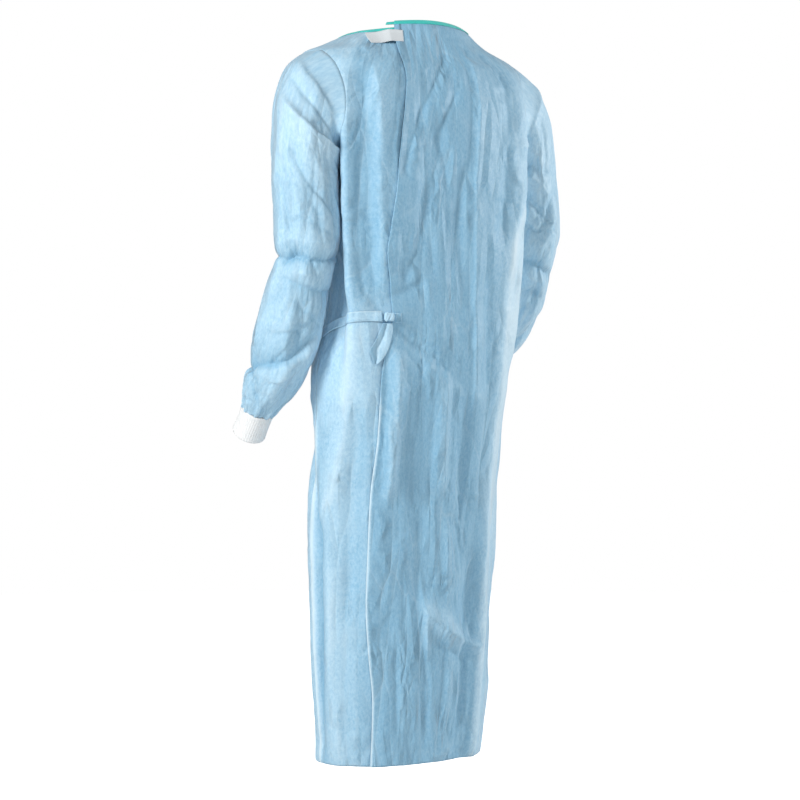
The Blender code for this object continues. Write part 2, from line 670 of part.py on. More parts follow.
def make_neck_tab():
    """The hook and loop tab, sewn to the outer panel and closed on the left one."""
    rows = []
    for share in (0.0, 0.5, 1.0):
        points = []
        for row in TAB_STATIONS:
            tab = dict(zip(TAB_COLUMNS, row))
            angle = tab["bottom_angle"] + (tab["top_angle"] - tab["bottom_angle"]) * share
            height = TAB_BOTTOM + (TAB_TOP - TAB_BOTTOM) * share
            lift = outer_lift(angle, height) * tab["over"] + TAB_CLEAR + TAPE_WALL
            points.append((angle, height, lift))
        rows.append(points)
    set_material(make_body_wall("neck_tab", rows, TAPE_WALL), "hook_and_loop", TAB_COLOUR, 0.8)


# The middle line of the long waist tie, from the knot round the wearer's left to the front.
TIE_COLUMNS = ("angle", "height", "lift")
LONG_TIE = (
    (47.5, -0.4905, 0.0054),
    (49.5, -0.4905, 0.0040),
    (52.0, -0.4905, 0.0029),
    (55.0, -0.4905, 0.0024),
    (67.0, -0.4945, 0.0024),
    (80.0, -0.5030, 0.0024),
    (91.0, -0.5170, 0.0024),
    (110.0, -0.5280, 0.0024),
    (130.0, -0.5280, 0.0024),
    (153.0, -0.5220, 0.0022),
)
LONG_TIE_END = 155.0
TIE_PATCH = (
    (36.5, -0.4930, 0.0050),
    (40.5, -0.4930, 0.0050),
)
PATCH_ANGLES = (40.5, 38.5, 36.5)


def strip_on_cloth(name, angles, table, names, width):
    rows = []
    for share in (-0.5, 0.0, 0.5):
        points = []
        for angle in angles:
            height = read_curve(column(table, names, "height"), angle)
            lift = read_curve(column(table, names, "lift"), angle)
            points.append((angle, height + share * width, lift))
        rows.append(points)
    cloth(make_body_wall(name, rows, TAPE_WALL))


def make_waist_ties():
    knot_end = LONG_TIE[0][0]
    angles = [angle for angle in front_angles(0.0)[:-1] if angle < LONG_TIE_END]
    angles += [90.0] + [angle for angle in LEFT_COLUMNS if knot_end <= angle < 90.0]
    strip_on_cloth("waist_tie_long", angles, LONG_TIE, TIE_COLUMNS, TIE_WIDTH)
    strip_on_cloth("waist_tie_patch", PATCH_ANGLES, TIE_PATCH, TIE_COLUMNS, PATCH_WIDTH)


KNOT_ANGLE = 44.2
KNOT_HEIGHT = -0.4915
KNOT_LIFT = 0.0086
KNOT_HALF = (0.0088, 0.0052, 0.0092)
KNOT_BEVEL = 0.55
KNOT_PINCH = 0.18
TAIL_COLUMNS = ("height", "left", "right", "lift")
TAIL_STATIONS = (
    (-0.5022, 47.5, 42.3, 0.0080),
    (-0.5100, 48.7, 42.0, 0.0072),
    (-0.5240, 50.5, 42.8, 0.0062),
    (-0.5370, 52.8, 44.0, 0.0056),
    (-0.5470, 54.5, 45.0, 0.0054),
    (-0.5580, 53.4, 47.0, 0.0054),
    (-0.5690, 52.3, 50.6, 0.0054),
)


def make_tie_knot():
    middle = cloth_point(KNOT_ANGLE, KNOT_HEIGHT, KNOT_LIFT)
    outward = body_normal(KNOT_ANGLE, KNOT_HEIGHT)
    upward = Vector((0.0, 0.0, 1.0))
    along = outward.cross(upward).normalized()
    upward = along.cross(outward).normalized()
    shape = bmesh.new()
    bmesh.ops.create_cube(shape, size=2.0)
    bmesh.ops.bevel(shape, geom=shape.edges, offset=KNOT_BEVEL, segments=2, profile=0.5,
                    affect="EDGES", material=-1)
    for vertex in shape.verts:
        place = vertex.co
        pinch = 1.0 - KNOT_PINCH * (1.0 - abs(place.x))
        vertex.co = (middle + along * place.x * KNOT_HALF[0] + outward * place.y * KNOT_HALF[1]
                     + upward * place.z * KNOT_HALF[2] * pinch)
    cloth(add_object("waist_tie_knot", shape))


def make_tie_tail():
    rows = []
    for row in reversed(TAIL_STATIONS):
        station = dict(zip(TAIL_COLUMNS, row))
        points = []
        for share in (0.0, 0.33, 0.67, 1.0):
            angle = station["left"] + (station["right"] - station["left"]) * share
            points.append((angle, station["height"], station["lift"]))
        rows.append(points)
    cloth(make_body_wall("waist_tie_tail", rows, TAPE_WALL))


def main():
    for thing in list(bpy.data.objects):
        bpy.data.objects.remove(thing)
    make_panels()
    make_sleeve("left", 1.0, LEFT_SLEEVE)
    make_sleeve("right", -1.0, RIGHT_SLEEVE)
    make_cuff("left", 1.0, LEFT_SLEEVE[-1])
    make_cuff("right", -1.0, RIGHT_SLEEVE[-1])
    make_neck_binding()
    make_neck_tape_end()
    make_neck_tab()
    make_waist_ties()
    make_tie_knot()
    make_tie_tail()


main()
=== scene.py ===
from math import cos, exp, hypot, pi, radians, sin

import bmesh
import bpy
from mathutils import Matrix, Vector, noise


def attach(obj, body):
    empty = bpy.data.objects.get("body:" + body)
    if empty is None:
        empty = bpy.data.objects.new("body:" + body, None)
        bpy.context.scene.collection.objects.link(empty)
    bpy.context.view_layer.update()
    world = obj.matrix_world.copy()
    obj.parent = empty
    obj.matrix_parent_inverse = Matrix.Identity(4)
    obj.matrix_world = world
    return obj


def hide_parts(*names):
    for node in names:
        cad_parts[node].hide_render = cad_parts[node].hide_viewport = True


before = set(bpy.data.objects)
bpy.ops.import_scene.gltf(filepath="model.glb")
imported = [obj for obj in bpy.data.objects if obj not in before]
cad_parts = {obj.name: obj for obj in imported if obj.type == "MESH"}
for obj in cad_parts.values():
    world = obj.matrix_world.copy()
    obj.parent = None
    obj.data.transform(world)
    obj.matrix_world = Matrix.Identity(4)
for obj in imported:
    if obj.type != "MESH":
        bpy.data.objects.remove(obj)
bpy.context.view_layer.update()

print("frame loaded, with", len(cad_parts), "pieces of cloth and trim")


# The body of the gown: horizontal sections, top to bottom, as the solids have them
bodyNames = ("height", "halfWidth", "back", "front", "middle", "square", "armHollow")
bodySections = (
    (0.012, 0.078, 0.074, 0.074, 0.008, 2.0, 0.000),
    (0.004, 0.087, 0.082, 0.080, 0.008, 2.0, 0.000),
    (-0.004, 0.102, 0.088, 0.084, 0.009, 2.0, 0.000),
    (-0.010, 0.115, 0.090, 0.087, 0.008, 2.0, 0.000),
    (-0.020, 0.138, 0.092, 0.091, 0.009, 1.9, 0.000),
    (-0.030, 0.160, 0.095, 0.094, 0.011, 1.9, 0.000),
    (-0.047, 0.198, 0.101, 0.099, 0.016, 2.1, 0.000),
    (-0.070, 0.208, 0.111, 0.106, 0.020, 2.5, 0.002),
    (-0.100, 0.210, 0.119, 0.113, 0.020, 2.9, 0.010),
    (-0.150, 0.212, 0.126, 0.122, 0.020, 3.0, 0.034),
    (-0.245, 0.213, 0.128, 0.127, 0.020, 3.0, 0.056),
    (-0.370, 0.210, 0.124, 0.122, 0.022, 2.9, 0.056),
    (-0.468, 0.203, 0.119, 0.116, 0.024, 2.7, 0.046),
    (-0.520, 0.199, 0.118, 0.114, 0.026, 2.5, 0.030),
    (-0.600, 0.191, 0.117, 0.114, 0.026, 2.3, 0.008),
    (-0.700, 0.180, 0.114, 0.113, 0.018, 2.1, 0.000),
    (-0.790, 0.181, 0.113, 0.113, 0.004, 2.1, 0.000),
    (-0.883, 0.179, 0.112, 0.112, 0.002, 2.1, 0.000),
    (-0.973, 0.173, 0.108, 0.108, -0.004, 2.1, 0.000),
    (-1.095, 0.167, 0.104, 0.105, -0.008, 2.1, 0.000),
    (-1.190, 0.159, 0.100, 0.102, -0.012, 2.1, 0.000),
    (-1.262, 0.150, 0.096, 0.099, -0.016, 2.1, 0.000),
)
freeEdge = (  # height and angle of the outer back panel's free edge
    (0.010, 43.0), (-0.006, 41.5), (-0.035, 39.5), (-0.052, 37.0), (-0.074, 34.0), (-0.099, 32.0),
    (-0.141, 32.5), (-0.183, 34.0), (-0.266, 37.0), (-0.339, 41.0), (-0.388, 43.5), (-0.431, 42.5),
    (-0.493, 42.0), (-0.554, 46.5), (-0.600, 49.0), (-0.700, 51.0), (-0.833, 53.5), (-0.975, 55.0),
    (-1.054, 53.5), (-1.135, 51.0), (-1.250, 52.5),
)
gown = {
    "clothWall": 0.0009, "foldRadius": 0.16, "overlapLift": 0.0036, "neckLift": 0.0052,
    "neckBack": 0.0, "neckSide": -0.008, "neckFront": -0.066, "cornerRise": 0.004,
    "hemBack": -1.241, "hemFront": -1.232, "hemLeftDrop": 0.006,
    "armholeTop": -0.047, "armholeBottom": -0.245, "armholeBack": 26.0, "armholeFront": 25.0,
    "innerEdge": -47.0,
}


def smoothStep(value):
    value = min(1.0, max(0.0, value))
    return value * value * (3.0 - 2.0 * value)


def readCurve(pairs, key):
    # a smooth curve through (key, value) pairs, with no overshoot
    if key <= pairs[0][0]:
        return pairs[0][1]
    if key >= pairs[-1][0]:
        return pairs[-1][1]
    after = next(place for place, pair in enumerate(pairs) if pair[0] >= key)
    before = after - 1
    width = pairs[after][0] - pairs[before][0]
    rise = (pairs[after][1] - pairs[before][1]) / width

    def slope(place):
        if place == 0 or place == len(pairs) - 1:
            return rise
        left = (pairs[place][1] - pairs[place - 1][1]) / (pairs[place][0] - pairs[place - 1][0])
        right = (pairs[place + 1][1] - pairs[place][1]) / (pairs[place + 1][0] - pairs[place][0])
        return 0.0 if left * right <= 0.0 else 2.0 * left * right / (left + right)

    share = (key - pairs[before][0]) / width
    back = 1.0 - share
    return (pairs[before][1] * (1.0 + 2.0 * share) * back * back
            + slope(before) * width * share * back * back
            + pairs[after][1] * share * share * (3.0 - 2.0 * share)
            - slope(after) * width * share * share * back)


bodyFloor = -1.28
bodyStep = 0.001
bodyLevels = []
for levelPlace in range(1300):
    level = bodyFloor + bodyStep * levelPlace
    bodyLevels.append([readCurve(sorted((row[0], row[spot]) for row in bodySections), level)
                       for spot in range(1, len(bodyNames))])
freeEdgeCurve = sorted(freeEdge)


def bodyPoint(angle, height):
    place = min(len(bodyLevels) - 1.001, max(0.0, (height - bodyFloor) / bodyStep))
    low = int(place)
    share = place - low
    halfWidth, back, front, middle, square, armHollow = [
        a + (b - a) * share for a, b in zip(bodyLevels[low], bodyLevels[low + 1])]
    turn = (angle + 180.0) % 360.0 - 180.0
    across, along = abs(sin(radians(turn))), cos(radians(turn))
    depth = back if along > 0.0 else front
    reach = ((across / halfWidth) ** square + (abs(along) / depth) ** square) ** (-1.0 / square)
    reach -= armHollow * smoothStep((abs(turn) - 61.0) / 12.0) * smoothStep((124.0 - abs(turn)) / 18.0)
    return Vector((reach * sin(radians(turn)), middle + reach * along, height))


def bodyNormal(angle, height):
    turn = bodyPoint(angle + 1.0, height) - bodyPoint(angle - 1.0, height)
    rise = bodyPoint(angle, height + 0.003) - bodyPoint(angle, height - 0.003)
    return rise.cross(turn).normalized()


# Folds and creases: each row has its points as (angle, height), its spread to either side of its
# line in mm, how deep it sinks in mm (a ridge is negative) and how soft it is, from 1 for a sharp
# crease to 2 for a round fold
bodyFolds = (
    # the large folds that the solids have
    (((56, -0.080), (50.5, -0.200), (50.5, -0.440)), 16, 9, 7, 1.6),
    (((48.5, -0.103), (46.0, -0.200), (46.0, -0.430)), 5, 8, -3.5, 1.2),
    (((-6, -0.052), (9, -0.104), (21.5, -0.151), (28, -0.207), (32.5, -0.257)), 24, 8, 5, 1.2),
    (((-12, -0.106), (-0.5, -0.153), (8.5, -0.201)), 20, 8, 4.5, 1.2),
    (((4, -0.190), (14, -0.290), (24, -0.380), (34, -0.440)), 26, 12, 5, 1.2),
    (((-14, -0.240), (-10, -0.330), (-4, -0.420)), 16, 9, 3.5, 1.2),
    (((-28, -0.060), (-28, -0.115), (-23, -0.259), (-26, -0.511), (-26, -0.627)), 2.5, 11, -3.0, 1.0),
    (((-26, -0.627), (-28, -0.745), (-23, -0.850), (-26, -0.900)), 2.5, 9, -2.4, 1.0),
    (((-50, -0.070), (-47, -0.180)), 10, 10, 3, 1.6),
    (((-47, -0.200), (-45.5, -0.289), (-43.5, -0.357)), 12, 8, 4, 1.4),
    (((41, -0.455), (33, -0.447), (22, -0.438)), 12, 7, 5, 1.3),
    (((41, -0.508), (28.5, -0.536), (3.5, -0.567)), 8, 13, 5, 1.3),
    (((38, -0.541), (24.5, -0.570), (22, -0.580)), 7, 10, 3.5, 1.3),
    (((41, -0.541), (38, -0.553), (39, -0.612), (39.5, -0.678), (39, -0.787)), 12, 8, -5, 1.4),
    (((45, -0.553), (45.5, -0.612), (47, -0.678), (47, -0.787)), 8, 8, 4, 1.5),
    (((18, -0.600), (14, -0.960)), 22, 18, 6, 1.8),
    (((0.5, -0.595), (-0.5, -0.695), (-4, -0.783)), 16, 10, -5, 1.5),
    (((-22, -0.640), (-26, -0.900)), 22, 22, 5, 1.8),
    (((-47, -0.760), (-46, -0.900), (-51, -0.990), (-49.5, -1.066), (-50, -1.240)), 14, 12, -5, 1.6),
    (((-34, -0.900), (-36, -1.240)), 20, 20, 6, 1.8),
    (((11, -0.978), (-18.5, -1.018), (-46.5, -1.055)), 20, 16, -5, 1.6),
    (((64.5, -0.502), (69.5, -0.695), (74, -0.787), (82.5, -0.828)), 10, 12, -4, 1.4),
    (((62, -0.640), (64, -1.000)), 16, 16, 5, 1.8),
    (((95, -0.689), (88, -0.783), (83.5, -0.848), (83.5, -0.942), (84, -1.085), (88, -1.222)), 10, 6, 7, 1.3),
    (((90, -0.660), (90, -1.235)), 6, 3, -3, 1.0),
    (((75, -0.900), (73, -1.240)), 16, 16, -4, 1.8),
    (((-74, -0.560), (-72, -1.100)), 20, 20, 6, 1.8),
    (((108, -0.640), (112, -1.220)), 20, 20, 10, 1.8),
    (((128, -0.480), (132, -0.760)), 16, 16, 6, 1.8),
    (((138, -0.780), (140, -1.220)), 22, 22, 9, 1.8),
    (((158, -0.540), (160, -0.980)), 18, 18, 7, 1.8),
    (((178, -0.700), (176, -1.220)), 22, 22, 10, 1.8),
    (((170, -0.120), (150, -0.330)), 16, 12, 5, 1.5),
    (((192, -0.120), (212, -0.300)), 12, 16, 5, 1.5),
    (((200, -0.560), (204, -1.100)), 20, 20, 8, 1.8),
    (((224, -0.420), (220, -0.760)), 16, 16, 6, 1.8),
    (((232, -0.760), (230, -1.220)), 22, 22, 10, 1.8),
    (((252, -0.620), (250, -1.220)), 20, 20, 8, 1.8),
    # the finer ones on the back
    (((75, -0.014), (56.5, -0.049), (52.5, -0.073), (48.5, -0.103), (46, -0.143), (45.5, -0.217)), 3, 7, -1.8, 1.0),
    (((55, -0.200), (56.5, -0.300), (56, -0.448)), 5, 5, 2.2, 1.2),
    (((56, -0.448), (48, -0.482)), 5, 8, 3, 1.2),
    (((63, -0.165), (64, -0.300), (64, -0.464)), 6, 6, -3, 1.1),
    (((-32, -0.035), (-29, -0.053)), 4, 6, 2, 1.1),
    (((-43.5, -0.043), (-45.5, -0.060)), 4, 6, 2.4, 1.1),
    (((-48.5, -0.054), (-50.5, -0.103)), 4, 7, 2.6, 1.1),
    (((-71, -0.179), (-49.5, -0.203), (-47.5, -0.238)), 5, 8, -2.2, 1.2),
    (((-57, -0.260), (-52, -0.340), (-50, -0.420)), 5, 9, -2.6, 1.2),
    (((-60, -0.330), (-56, -0.470)), 8, 8, 3, 1.5),
    (((-38, -0.547), (-52, -0.547)), 2, 4, -1.2, 1.0),
    (((-4, -0.790), (-26, -0.788), (-47, -0.792)), 2, 5, -1.3, 1.0),
    (((30, -0.340), (34, -0.430)), 8, 8, 2.4, 1.5),
    (((16, -0.250), (12, -0.420)), 12, 9, 2.6, 1.5),
    (((2, -0.230), (0, -0.380)), 9, 12, 2.2, 1.5),
    (((-12, -0.300), (-14, -0.480)), 9, 11, 2.4, 1.5),
    (((-36, -0.420), (-38, -0.620)), 8, 10, 2.6, 1.5),
    (((30, -0.600), (29, -0.760)), 7, 9, 2.4, 1.4),
    (((10, -0.620), (7, -0.800)), 9, 9, 2.6, 1.4),
    (((-8, -0.840), (-12, -0.960), (-10, -1.020)), 6, 10, -2.8, 1.3),
    (((-14, -1.010), (-17, -1.100), (-16, -1.180)), 6, 9, -2.6, 1.3),
    (((-26, -1.030), (-29, -1.140)), 5, 8, -2.2, 1.3),
    (((-38, -1.060), (-40, -1.180)), 5, 8, -2.2, 1.3),
    (((30, -0.900), (28, -1.020)), 6, 9, 2.4, 1.4),
    (((34, -1.040), (32, -1.200)), 9, 9, 3, 1.6),
    (((8, -1.060), (5, -1.210)), 10, 10, 3, 1.6),
    (((66, -0.860), (67, -1.060), (70, -1.200)), 6, 9, 2.4, 1.4),
    (((76, -0.960), (77, -1.100)), 5, 8, -2, 1.4),
    (((-18, -1.225), (-30, -1.200), (-40, -1.195)), 5, 8, -2.4, 1.2),
    (((12, -0.985), (-7.5, -1.013), (-24, -1.030), (-41, -1.050)), 3, 9, -4.2, 1.0),
    (((-41, -1.054), (-48, -1.045), (-49, -1.010)), 3, 7, -3.6, 1.0),
    (((-4, -1.034), (-20, -1.054), (-34, -1.070)), 5, 5, 2.6, 1.1),
    (((14, -0.930), (10, -0.985), (6, -1.060)), 3, 7, -3.2, 1.0),
    (((-2, -1.236), (-26, -1.224), (-46, -1.216)), 3, 9, -2.6, 1.0),
    (((44, -0.660), (41, -0.740), (42.5, -0.800)), 6, 4, -3.6, 1.1),
    (((25, -0.690), (22, -0.800)), 9, 5, 2.6, 1.2),
    # and on the sides and the front
    (((-78, -0.300), (-80, -0.500)), 10, 10, 4, 1.5),
    (((-62, -0.560), (-64, -0.780)), 10, 8, 3, 1.5),
    (((-82, -0.760), (-84, -1.000)), 8, 10, 3, 1.5),
    (((100, -0.500), (104, -0.620)), 8, 10, 3, 1.5),
    (((118, -0.300), (124, -0.460)), 10, 8, 3, 1.5),
    (((148, -0.560), (150, -0.900)), 8, 12, 3, 1.4),
    (((168, -0.360), (170, -0.680)), 8, 12, 3, 1.4),
    (((186, -0.420), (188, -0.760)), 12, 8, 3, 1.4),
    (((196, -0.200), (206, -0.420)), 8, 10, 3, 1.4),
    (((236, -0.300), (232, -0.440)), 8, 10, 3, 1.5),
    (((180, -0.080), (180, -0.500), (180, -1.225)), 2, 3, -1.2, 1.0),
    (((100, -0.545), (180, -0.547), (260, -0.545)), 2, 4, -1.0, 1.0),
    (((96, -0.880), (180, -0.884), (264, -0.880)), 2, 4, -1.0, 1.0),
)


def readFolds(table, flatten, gain):
    folds = []
    for points, near, far, depth, soft in table:
        line = [flatten(*point) for point in points]
        reach = 3.2 * max(near, far) / 1000
        lengths = [hypot(b[0] - a[0], b[1] - a[1]) for a, b in zip(line, line[1:])]
        total = sum(lengths)
        folds.append({
            "line": line, "lengths": lengths, "total": total, "near": near / 1000, "far": far / 1000,
            "depth": depth / 1000 * gain, "soft": soft, "taper": min(0.045, 0.45 * total),
            "low": (min(p[0] for p in line) - reach, min(p[1] for p in line) - reach),
            "high": (max(p[0] for p in line) + reach, max(p[1] for p in line) + reach),
        })
    return folds


def foldDepth(folds, x, y):
    depth = 0.0
    for fold in folds:
        low, high = fold["low"], fold["high"]
        if x < low[0] or x > high[0] or y < low[1] or y > high[1]:
            continue
        best = None
        start = 0.0
        for (ax, ay), (bx, by), length in zip(fold["line"], fold["line"][1:], fold["lengths"]):
            runX, runY = (bx - ax) / length, (by - ay) / length
            along = (x - ax) * runX + (y - ay) * runY
            aside = (x - ax) * runY - (y - ay) * runX
            inside = min(length, max(0.0, along))
            away = hypot(aside, along - inside)
            if best is None or away < best[0]:
                best = (away, aside, start + along)
            start += length
        away, aside, along = best
        taper = fold["taper"]
        ends = smoothStep(0.5 + along / taper) * smoothStep(0.5 + (fold["total"] - along) / taper)
        spread = fold["near"] if aside < 0.0 else fold["far"]
        depth += fold["depth"] * ends * exp(-0.7 * (abs(aside) / spread) ** fold["soft"])
    return depth


def flatBody(angle, height):
    return radians(angle) * gown["foldRadius"], height


bodyFoldLines = readFolds(bodyFolds, flatBody, 1.45)


def ridgeNoise(x, y, seed):
    spot = Vector((x, y, seed))
    spot += 0.35 * noise.noise_vector(spot * 0.6)
    return (1.0 - abs(noise.noise(spot))) ** 4


def crumple(x, y, amount, seed=0.0):
    # soft hanging pleats, then finer crinkles, in patches
    pleat = ridgeNoise(x * 14, y * 3.5, 1.7 + seed)
    crinkle = ridgeNoise(x * 34, y * 15, 8.1 + seed)
    fine = ridgeNoise(x * 75, y * 40, 5.4 + seed)
    patch = smoothStep(0.5 + 0.9 * noise.noise(Vector((x * 6, y * 5, 3.3 + seed))))
    return amount * (0.9 * (pleat - 0.4) + patch * (0.7 * (crinkle - 0.3) + 0.22 * (fine - 0.3)))


def clothSink(angle, height, crumpled=1.0):
    turn = (angle + 92.0) % 360.0 - 92.0
    x, y = flatBody(turn, height)
    sink = foldDepth(bodyFoldLines, x, y)
    if turn > 180.0:
        sink += foldDepth(bodyFoldLines, *flatBody(turn - 360.0, height))
    elif turn < 0.0:
        sink += foldDepth(bodyFoldLines, *flatBody(turn + 360.0, height))
    fade = smoothStep((-0.012 - height) / 0.05)
    return sink + crumple(x, y, 0.0024) * fade * crumpled


def clothPoint(angle, height, lift=0.0, crumpled=1.0, sink=None):
    if sink is None:
        sink = clothSink(angle, height, crumpled)
    return bodyPoint(angle, height) + bodyNormal(angle, height) * (lift - sink)


def paintedFoldShade(sink):
    # painted shade and highlight: the cloth is painted darker in its troughs and paler on its ridges
    return min(0.5, sink * 42) if sink > 0.0 else max(-0.5, sink * 70)


def outerLift(angle, height):
    rise = gown["overlapLift"] + gown["neckLift"] * smoothStep((height + 0.060) / 0.050)
    return rise * smoothStep((angle + 76.0) / 26.0)


def hemHeight(angle):
    front = 0.5 - 0.5 * cos(radians(angle))
    drop = gown["hemLeftDrop"] * max(0.0, sin(radians(angle)))
    return gown["hemBack"] + (gown["hemFront"] - gown["hemBack"]) * front - drop


def neckHeight(angle, corner=False):
    along = cos(radians(angle))
    end = gown["neckBack"] if along > 0.0 else gown["neckFront"]
    height = gown["neckSide"] + (end - gown["neckSide"]) * along * along
    if corner:
        height += gown["cornerRise"] * smoothStep((angle - 5.0) / 35.0)
    return height


def rowHeight(row, angle, corner=False):
    if row >= 0.0:
        hem = hemHeight(angle)
        return hem + (gown["armholeBottom"] - hem) * row
    share = smoothStep((row + 0.115) / (gown["neckSide"] + 0.115))
    return row + (neckHeight(angle, corner) - gown["neckSide"]) * share


def armholeAngle(row, widest):
    middle = (gown["armholeTop"] + gown["armholeBottom"]) / 2
    share = (row - middle) / (gown["armholeTop"] - middle)
    return widest * max(0.0, 1.0 - share * share) ** 0.5


panelGrid = {"lowerRows": 230, "armholeRows": 58, "shoulderRows": 16, "front": 118, "left": 124, "right": 146}


def makePanelRows():
    lower = [step / panelGrid["lowerRows"] for step in range(panelGrid["lowerRows"])]
    middle = (gown["armholeTop"] + gown["armholeBottom"]) / 2
    half = (gown["armholeTop"] - gown["armholeBottom"]) / 2
    armhole = [middle - half * cos(pi * step / panelGrid["armholeRows"])
               for step in range(panelGrid["armholeRows"] + 1)]
    rise = gown["neckSide"] - gown["armholeTop"]
    shoulder = [gown["armholeTop"] + rise * (step + 1) / panelGrid["shoulderRows"]
                for step in range(panelGrid["shoulderRows"])]
    return lower + armhole + shoulder


panelRows = makePanelRows()


# Materials
def addNodes(name, roughness):
    material = bpy.data.materials.new(name)
    material.use_nodes = True
    nodes, links = material.node_tree.nodes, material.node_tree.links
    shader = nodes["Principled BSDF"]
    shader.inputs["Roughness"].default_value = roughness
    uv = nodes.new("ShaderNodeUVMap")
    uv.uv_map = "flat"

    def mapping(scale):
        node = nodes.new("ShaderNodeMapping")
        node.inputs["Scale"].default_value = scale
        links.new(uv.outputs["UV"], node.inputs["Vector"])
        return node.outputs["Vector"]

    def noiseNode(scale, detail, stretch=(1, 1, 1), kind="FBM", rough=0.55):
        node = nodes.new("ShaderNodeTexNoise")
        node.noise_type = kind
        node.inputs["Scale"].default_value = scale
        node.inputs["Detail"].default_value = detail
        node.inputs["Roughness"].default_value = rough
        links.new(mapping(stretch), node.inputs["Vector"])
        return node.outputs["Fac"]

    def ramp(value, low, high, first, last):
        node = nodes.new("ShaderNodeMapRange")
        node.inputs["From Min"].default_value = low
        node.inputs["From Max"].default_value = high
        node.inputs["To Min"].default_value = first
        node.inputs["To Max"].default_value = last
        links.new(value, node.inputs["Value"])
        return node.outputs["Result"]

    def mix(kind, fac, a, b):
        node = nodes.new("ShaderNodeMix")
        node.data_type = "RGBA"
        node.blend_type = kind
        sockets = {"fac": node.inputs[0], "a": node.inputs[6], "b": node.inputs[7]}
        for key, value in (("fac", fac), ("a", a), ("b", b)):
            if isinstance(value, (tuple, float, int)):
                sockets[key].default_value = value
            else:
                links.new(value, sockets[key])
        return node.outputs[2]

    def creases(scale, stretch, wander):
        # the distance from straight creases that part the cloth into flat facets
        bend = nodes.new("ShaderNodeTexNoise")
        bend.inputs["Scale"].default_value = scale * 0.7
        bend.inputs["Detail"].default_value = 1.0
        spot = mapping(stretch)
        links.new(spot, bend.inputs["Vector"])
        shift = nodes.new("ShaderNodeVectorMath")
        shift.operation = "MULTIPLY_ADD"
        shift.inputs[1].default_value = (wander / scale,) * 3
        links.new(bend.outputs["Color"], shift.inputs[0])
        links.new(spot, shift.inputs[2])
        cells = nodes.new("ShaderNodeTexVoronoi")
        cells.feature = "DISTANCE_TO_EDGE"
        cells.voronoi_dimensions = "2D"
        cells.inputs["Scale"].default_value = scale
        links.new(shift.outputs["Vector"], cells.inputs["Vector"])
        return cells.outputs["Distance"]

    def multiply(a, b):
        node = nodes.new("ShaderNodeMath")
        node.operation = "MULTIPLY"
        links.new(a, node.inputs[0])
        links.new(b, node.inputs[1])
        return node.outputs[0]

    def bump(height, strength, distance, under=None):
        node = nodes.new("ShaderNodeBump")
        node.inputs["Strength"].default_value = strength
        node.inputs["Distance"].default_value = distance
        links.new(height, node.inputs["Height"])
        if under is not None:
            links.new(under, node.inputs["Normal"])
        return node.outputs["Normal"]

    return {"material": material, "nodes": nodes, "links": links, "shader": shader, "noise": noiseNode,
            "ramp": ramp, "mix": mix, "creases": creases, "multiply": multiply, "bump": bump,
            "mapping": mapping}


# the third colour is multiplied in where cloth lies doubled and where shade is painted; the pale colour serves pale
# streaks and painted highlights
clothLook = {
    "light": (0.52, 0.74, 0.88, 1.0), "deep": (0.34, 0.59, 0.77, 1.0), "layersAndPaintedShade": (0.60, 0.74, 0.81, 1.0),
    "pale": (0.74, 0.89, 0.96, 1.0), "roughness": 0.55,
}


def makeGownCloth():
    tool = addNodes("gown cloth", clothLook["roughness"])
    nodes, links = tool["nodes"], tool["links"]
    grain = tool["noise"](260, 4, (1.0, 0.55, 1.0), rough=0.7)
    cloud = tool["noise"](22, 3)
    streak = tool["noise"](60, 4, (1.0, 0.12, 1.0), rough=0.6)
    colour = tool["mix"]("MIX", tool["ramp"](grain, 0.36, 0.64, 0.0, 1.0), clothLook["deep"], clothLook["light"])
    colour = tool["mix"]("MIX", tool["ramp"](cloud, 0.35, 0.75, 0.0, 0.45), colour, clothLook["light"])
    colour = tool["mix"]("MIX", tool["ramp"](streak, 0.55, 0.8, 0.0, 0.35), colour, clothLook["pale"])
    # painted shade and highlight: the per-vertex value darkens the cloth towards the multiplied colour where two
    # layers lie and where shade is painted; below 0 it mixes in the pale colour as a painted highlight
    layers = nodes.new("ShaderNodeAttribute")
    layers.attribute_name = "layersAndPaintedShade"
    colour = tool["mix"]("MULTIPLY", layers.outputs["Fac"], colour, clothLook["layersAndPaintedShade"])
    colour = tool["mix"]("MIX", tool["ramp"](layers.outputs["Fac"], -0.6, 0.0, 0.75, 0.0), colour, clothLook["pale"])
    long = tool["creases"](11, (1.0, 0.15, 1.0), 0.7)
    short = tool["creases"](24, (1.0, 0.28, 1.0), 0.8)
    fine = tool["creases"](58, (1.0, 0.5, 1.0), 0.8)
    longShare = tool["ramp"](tool["noise"](8, 2, (1.0, 0.5, 1.0)), 0.45, 0.60, 0.0, 1.0)
    shortShare = tool["ramp"](tool["noise"](13, 2), 0.42, 0.58, 0.1, 1.0)
    fineShare = tool["ramp"](tool["noise"](10, 2, (1.0, 0.7, 1.0)), 0.48, 0.64, 0.0, 1.0)
    # painted highlight: pale lines along the long and short creases, in patches
    for lines, share, width in ((long, longShare, 0.025), (short, shortShare, 0.040)):
        paintedCreaseHighlight = tool["multiply"](tool["ramp"](lines, 0.0, width, 0.11, 0.0), share)
        colour = tool["mix"]("MIX", paintedCreaseHighlight, colour, clothLook["pale"])
    links.new(colour, tool["shader"].inputs["Base Color"])
    fibres = tool["noise"](700, 3, (1.0, 0.8, 1.0))
    normal = tool["bump"](long, 0.9, 0.0140)
    normal = tool["bump"](tool["multiply"](short, shortShare), 0.9, 0.0120, normal)
    normal = tool["bump"](tool["multiply"](fine, fineShare), 0.8, 0.0050, normal)
    normal = tool["bump"](grain, 0.25, 0.0006, normal)
    normal = tool["bump"](fibres, 0.2, 0.0003, normal)
    links.new(normal, tool["shader"].inputs["Normal"])
    shader = tool["shader"]
    shader.inputs["Sheen Weight"].default_value = 0.25
    shader.inputs["Sheen Roughness"].default_value = 0.4
    shader.inputs["Specular IOR Level"].default_value = 0.35
    return tool["material"]


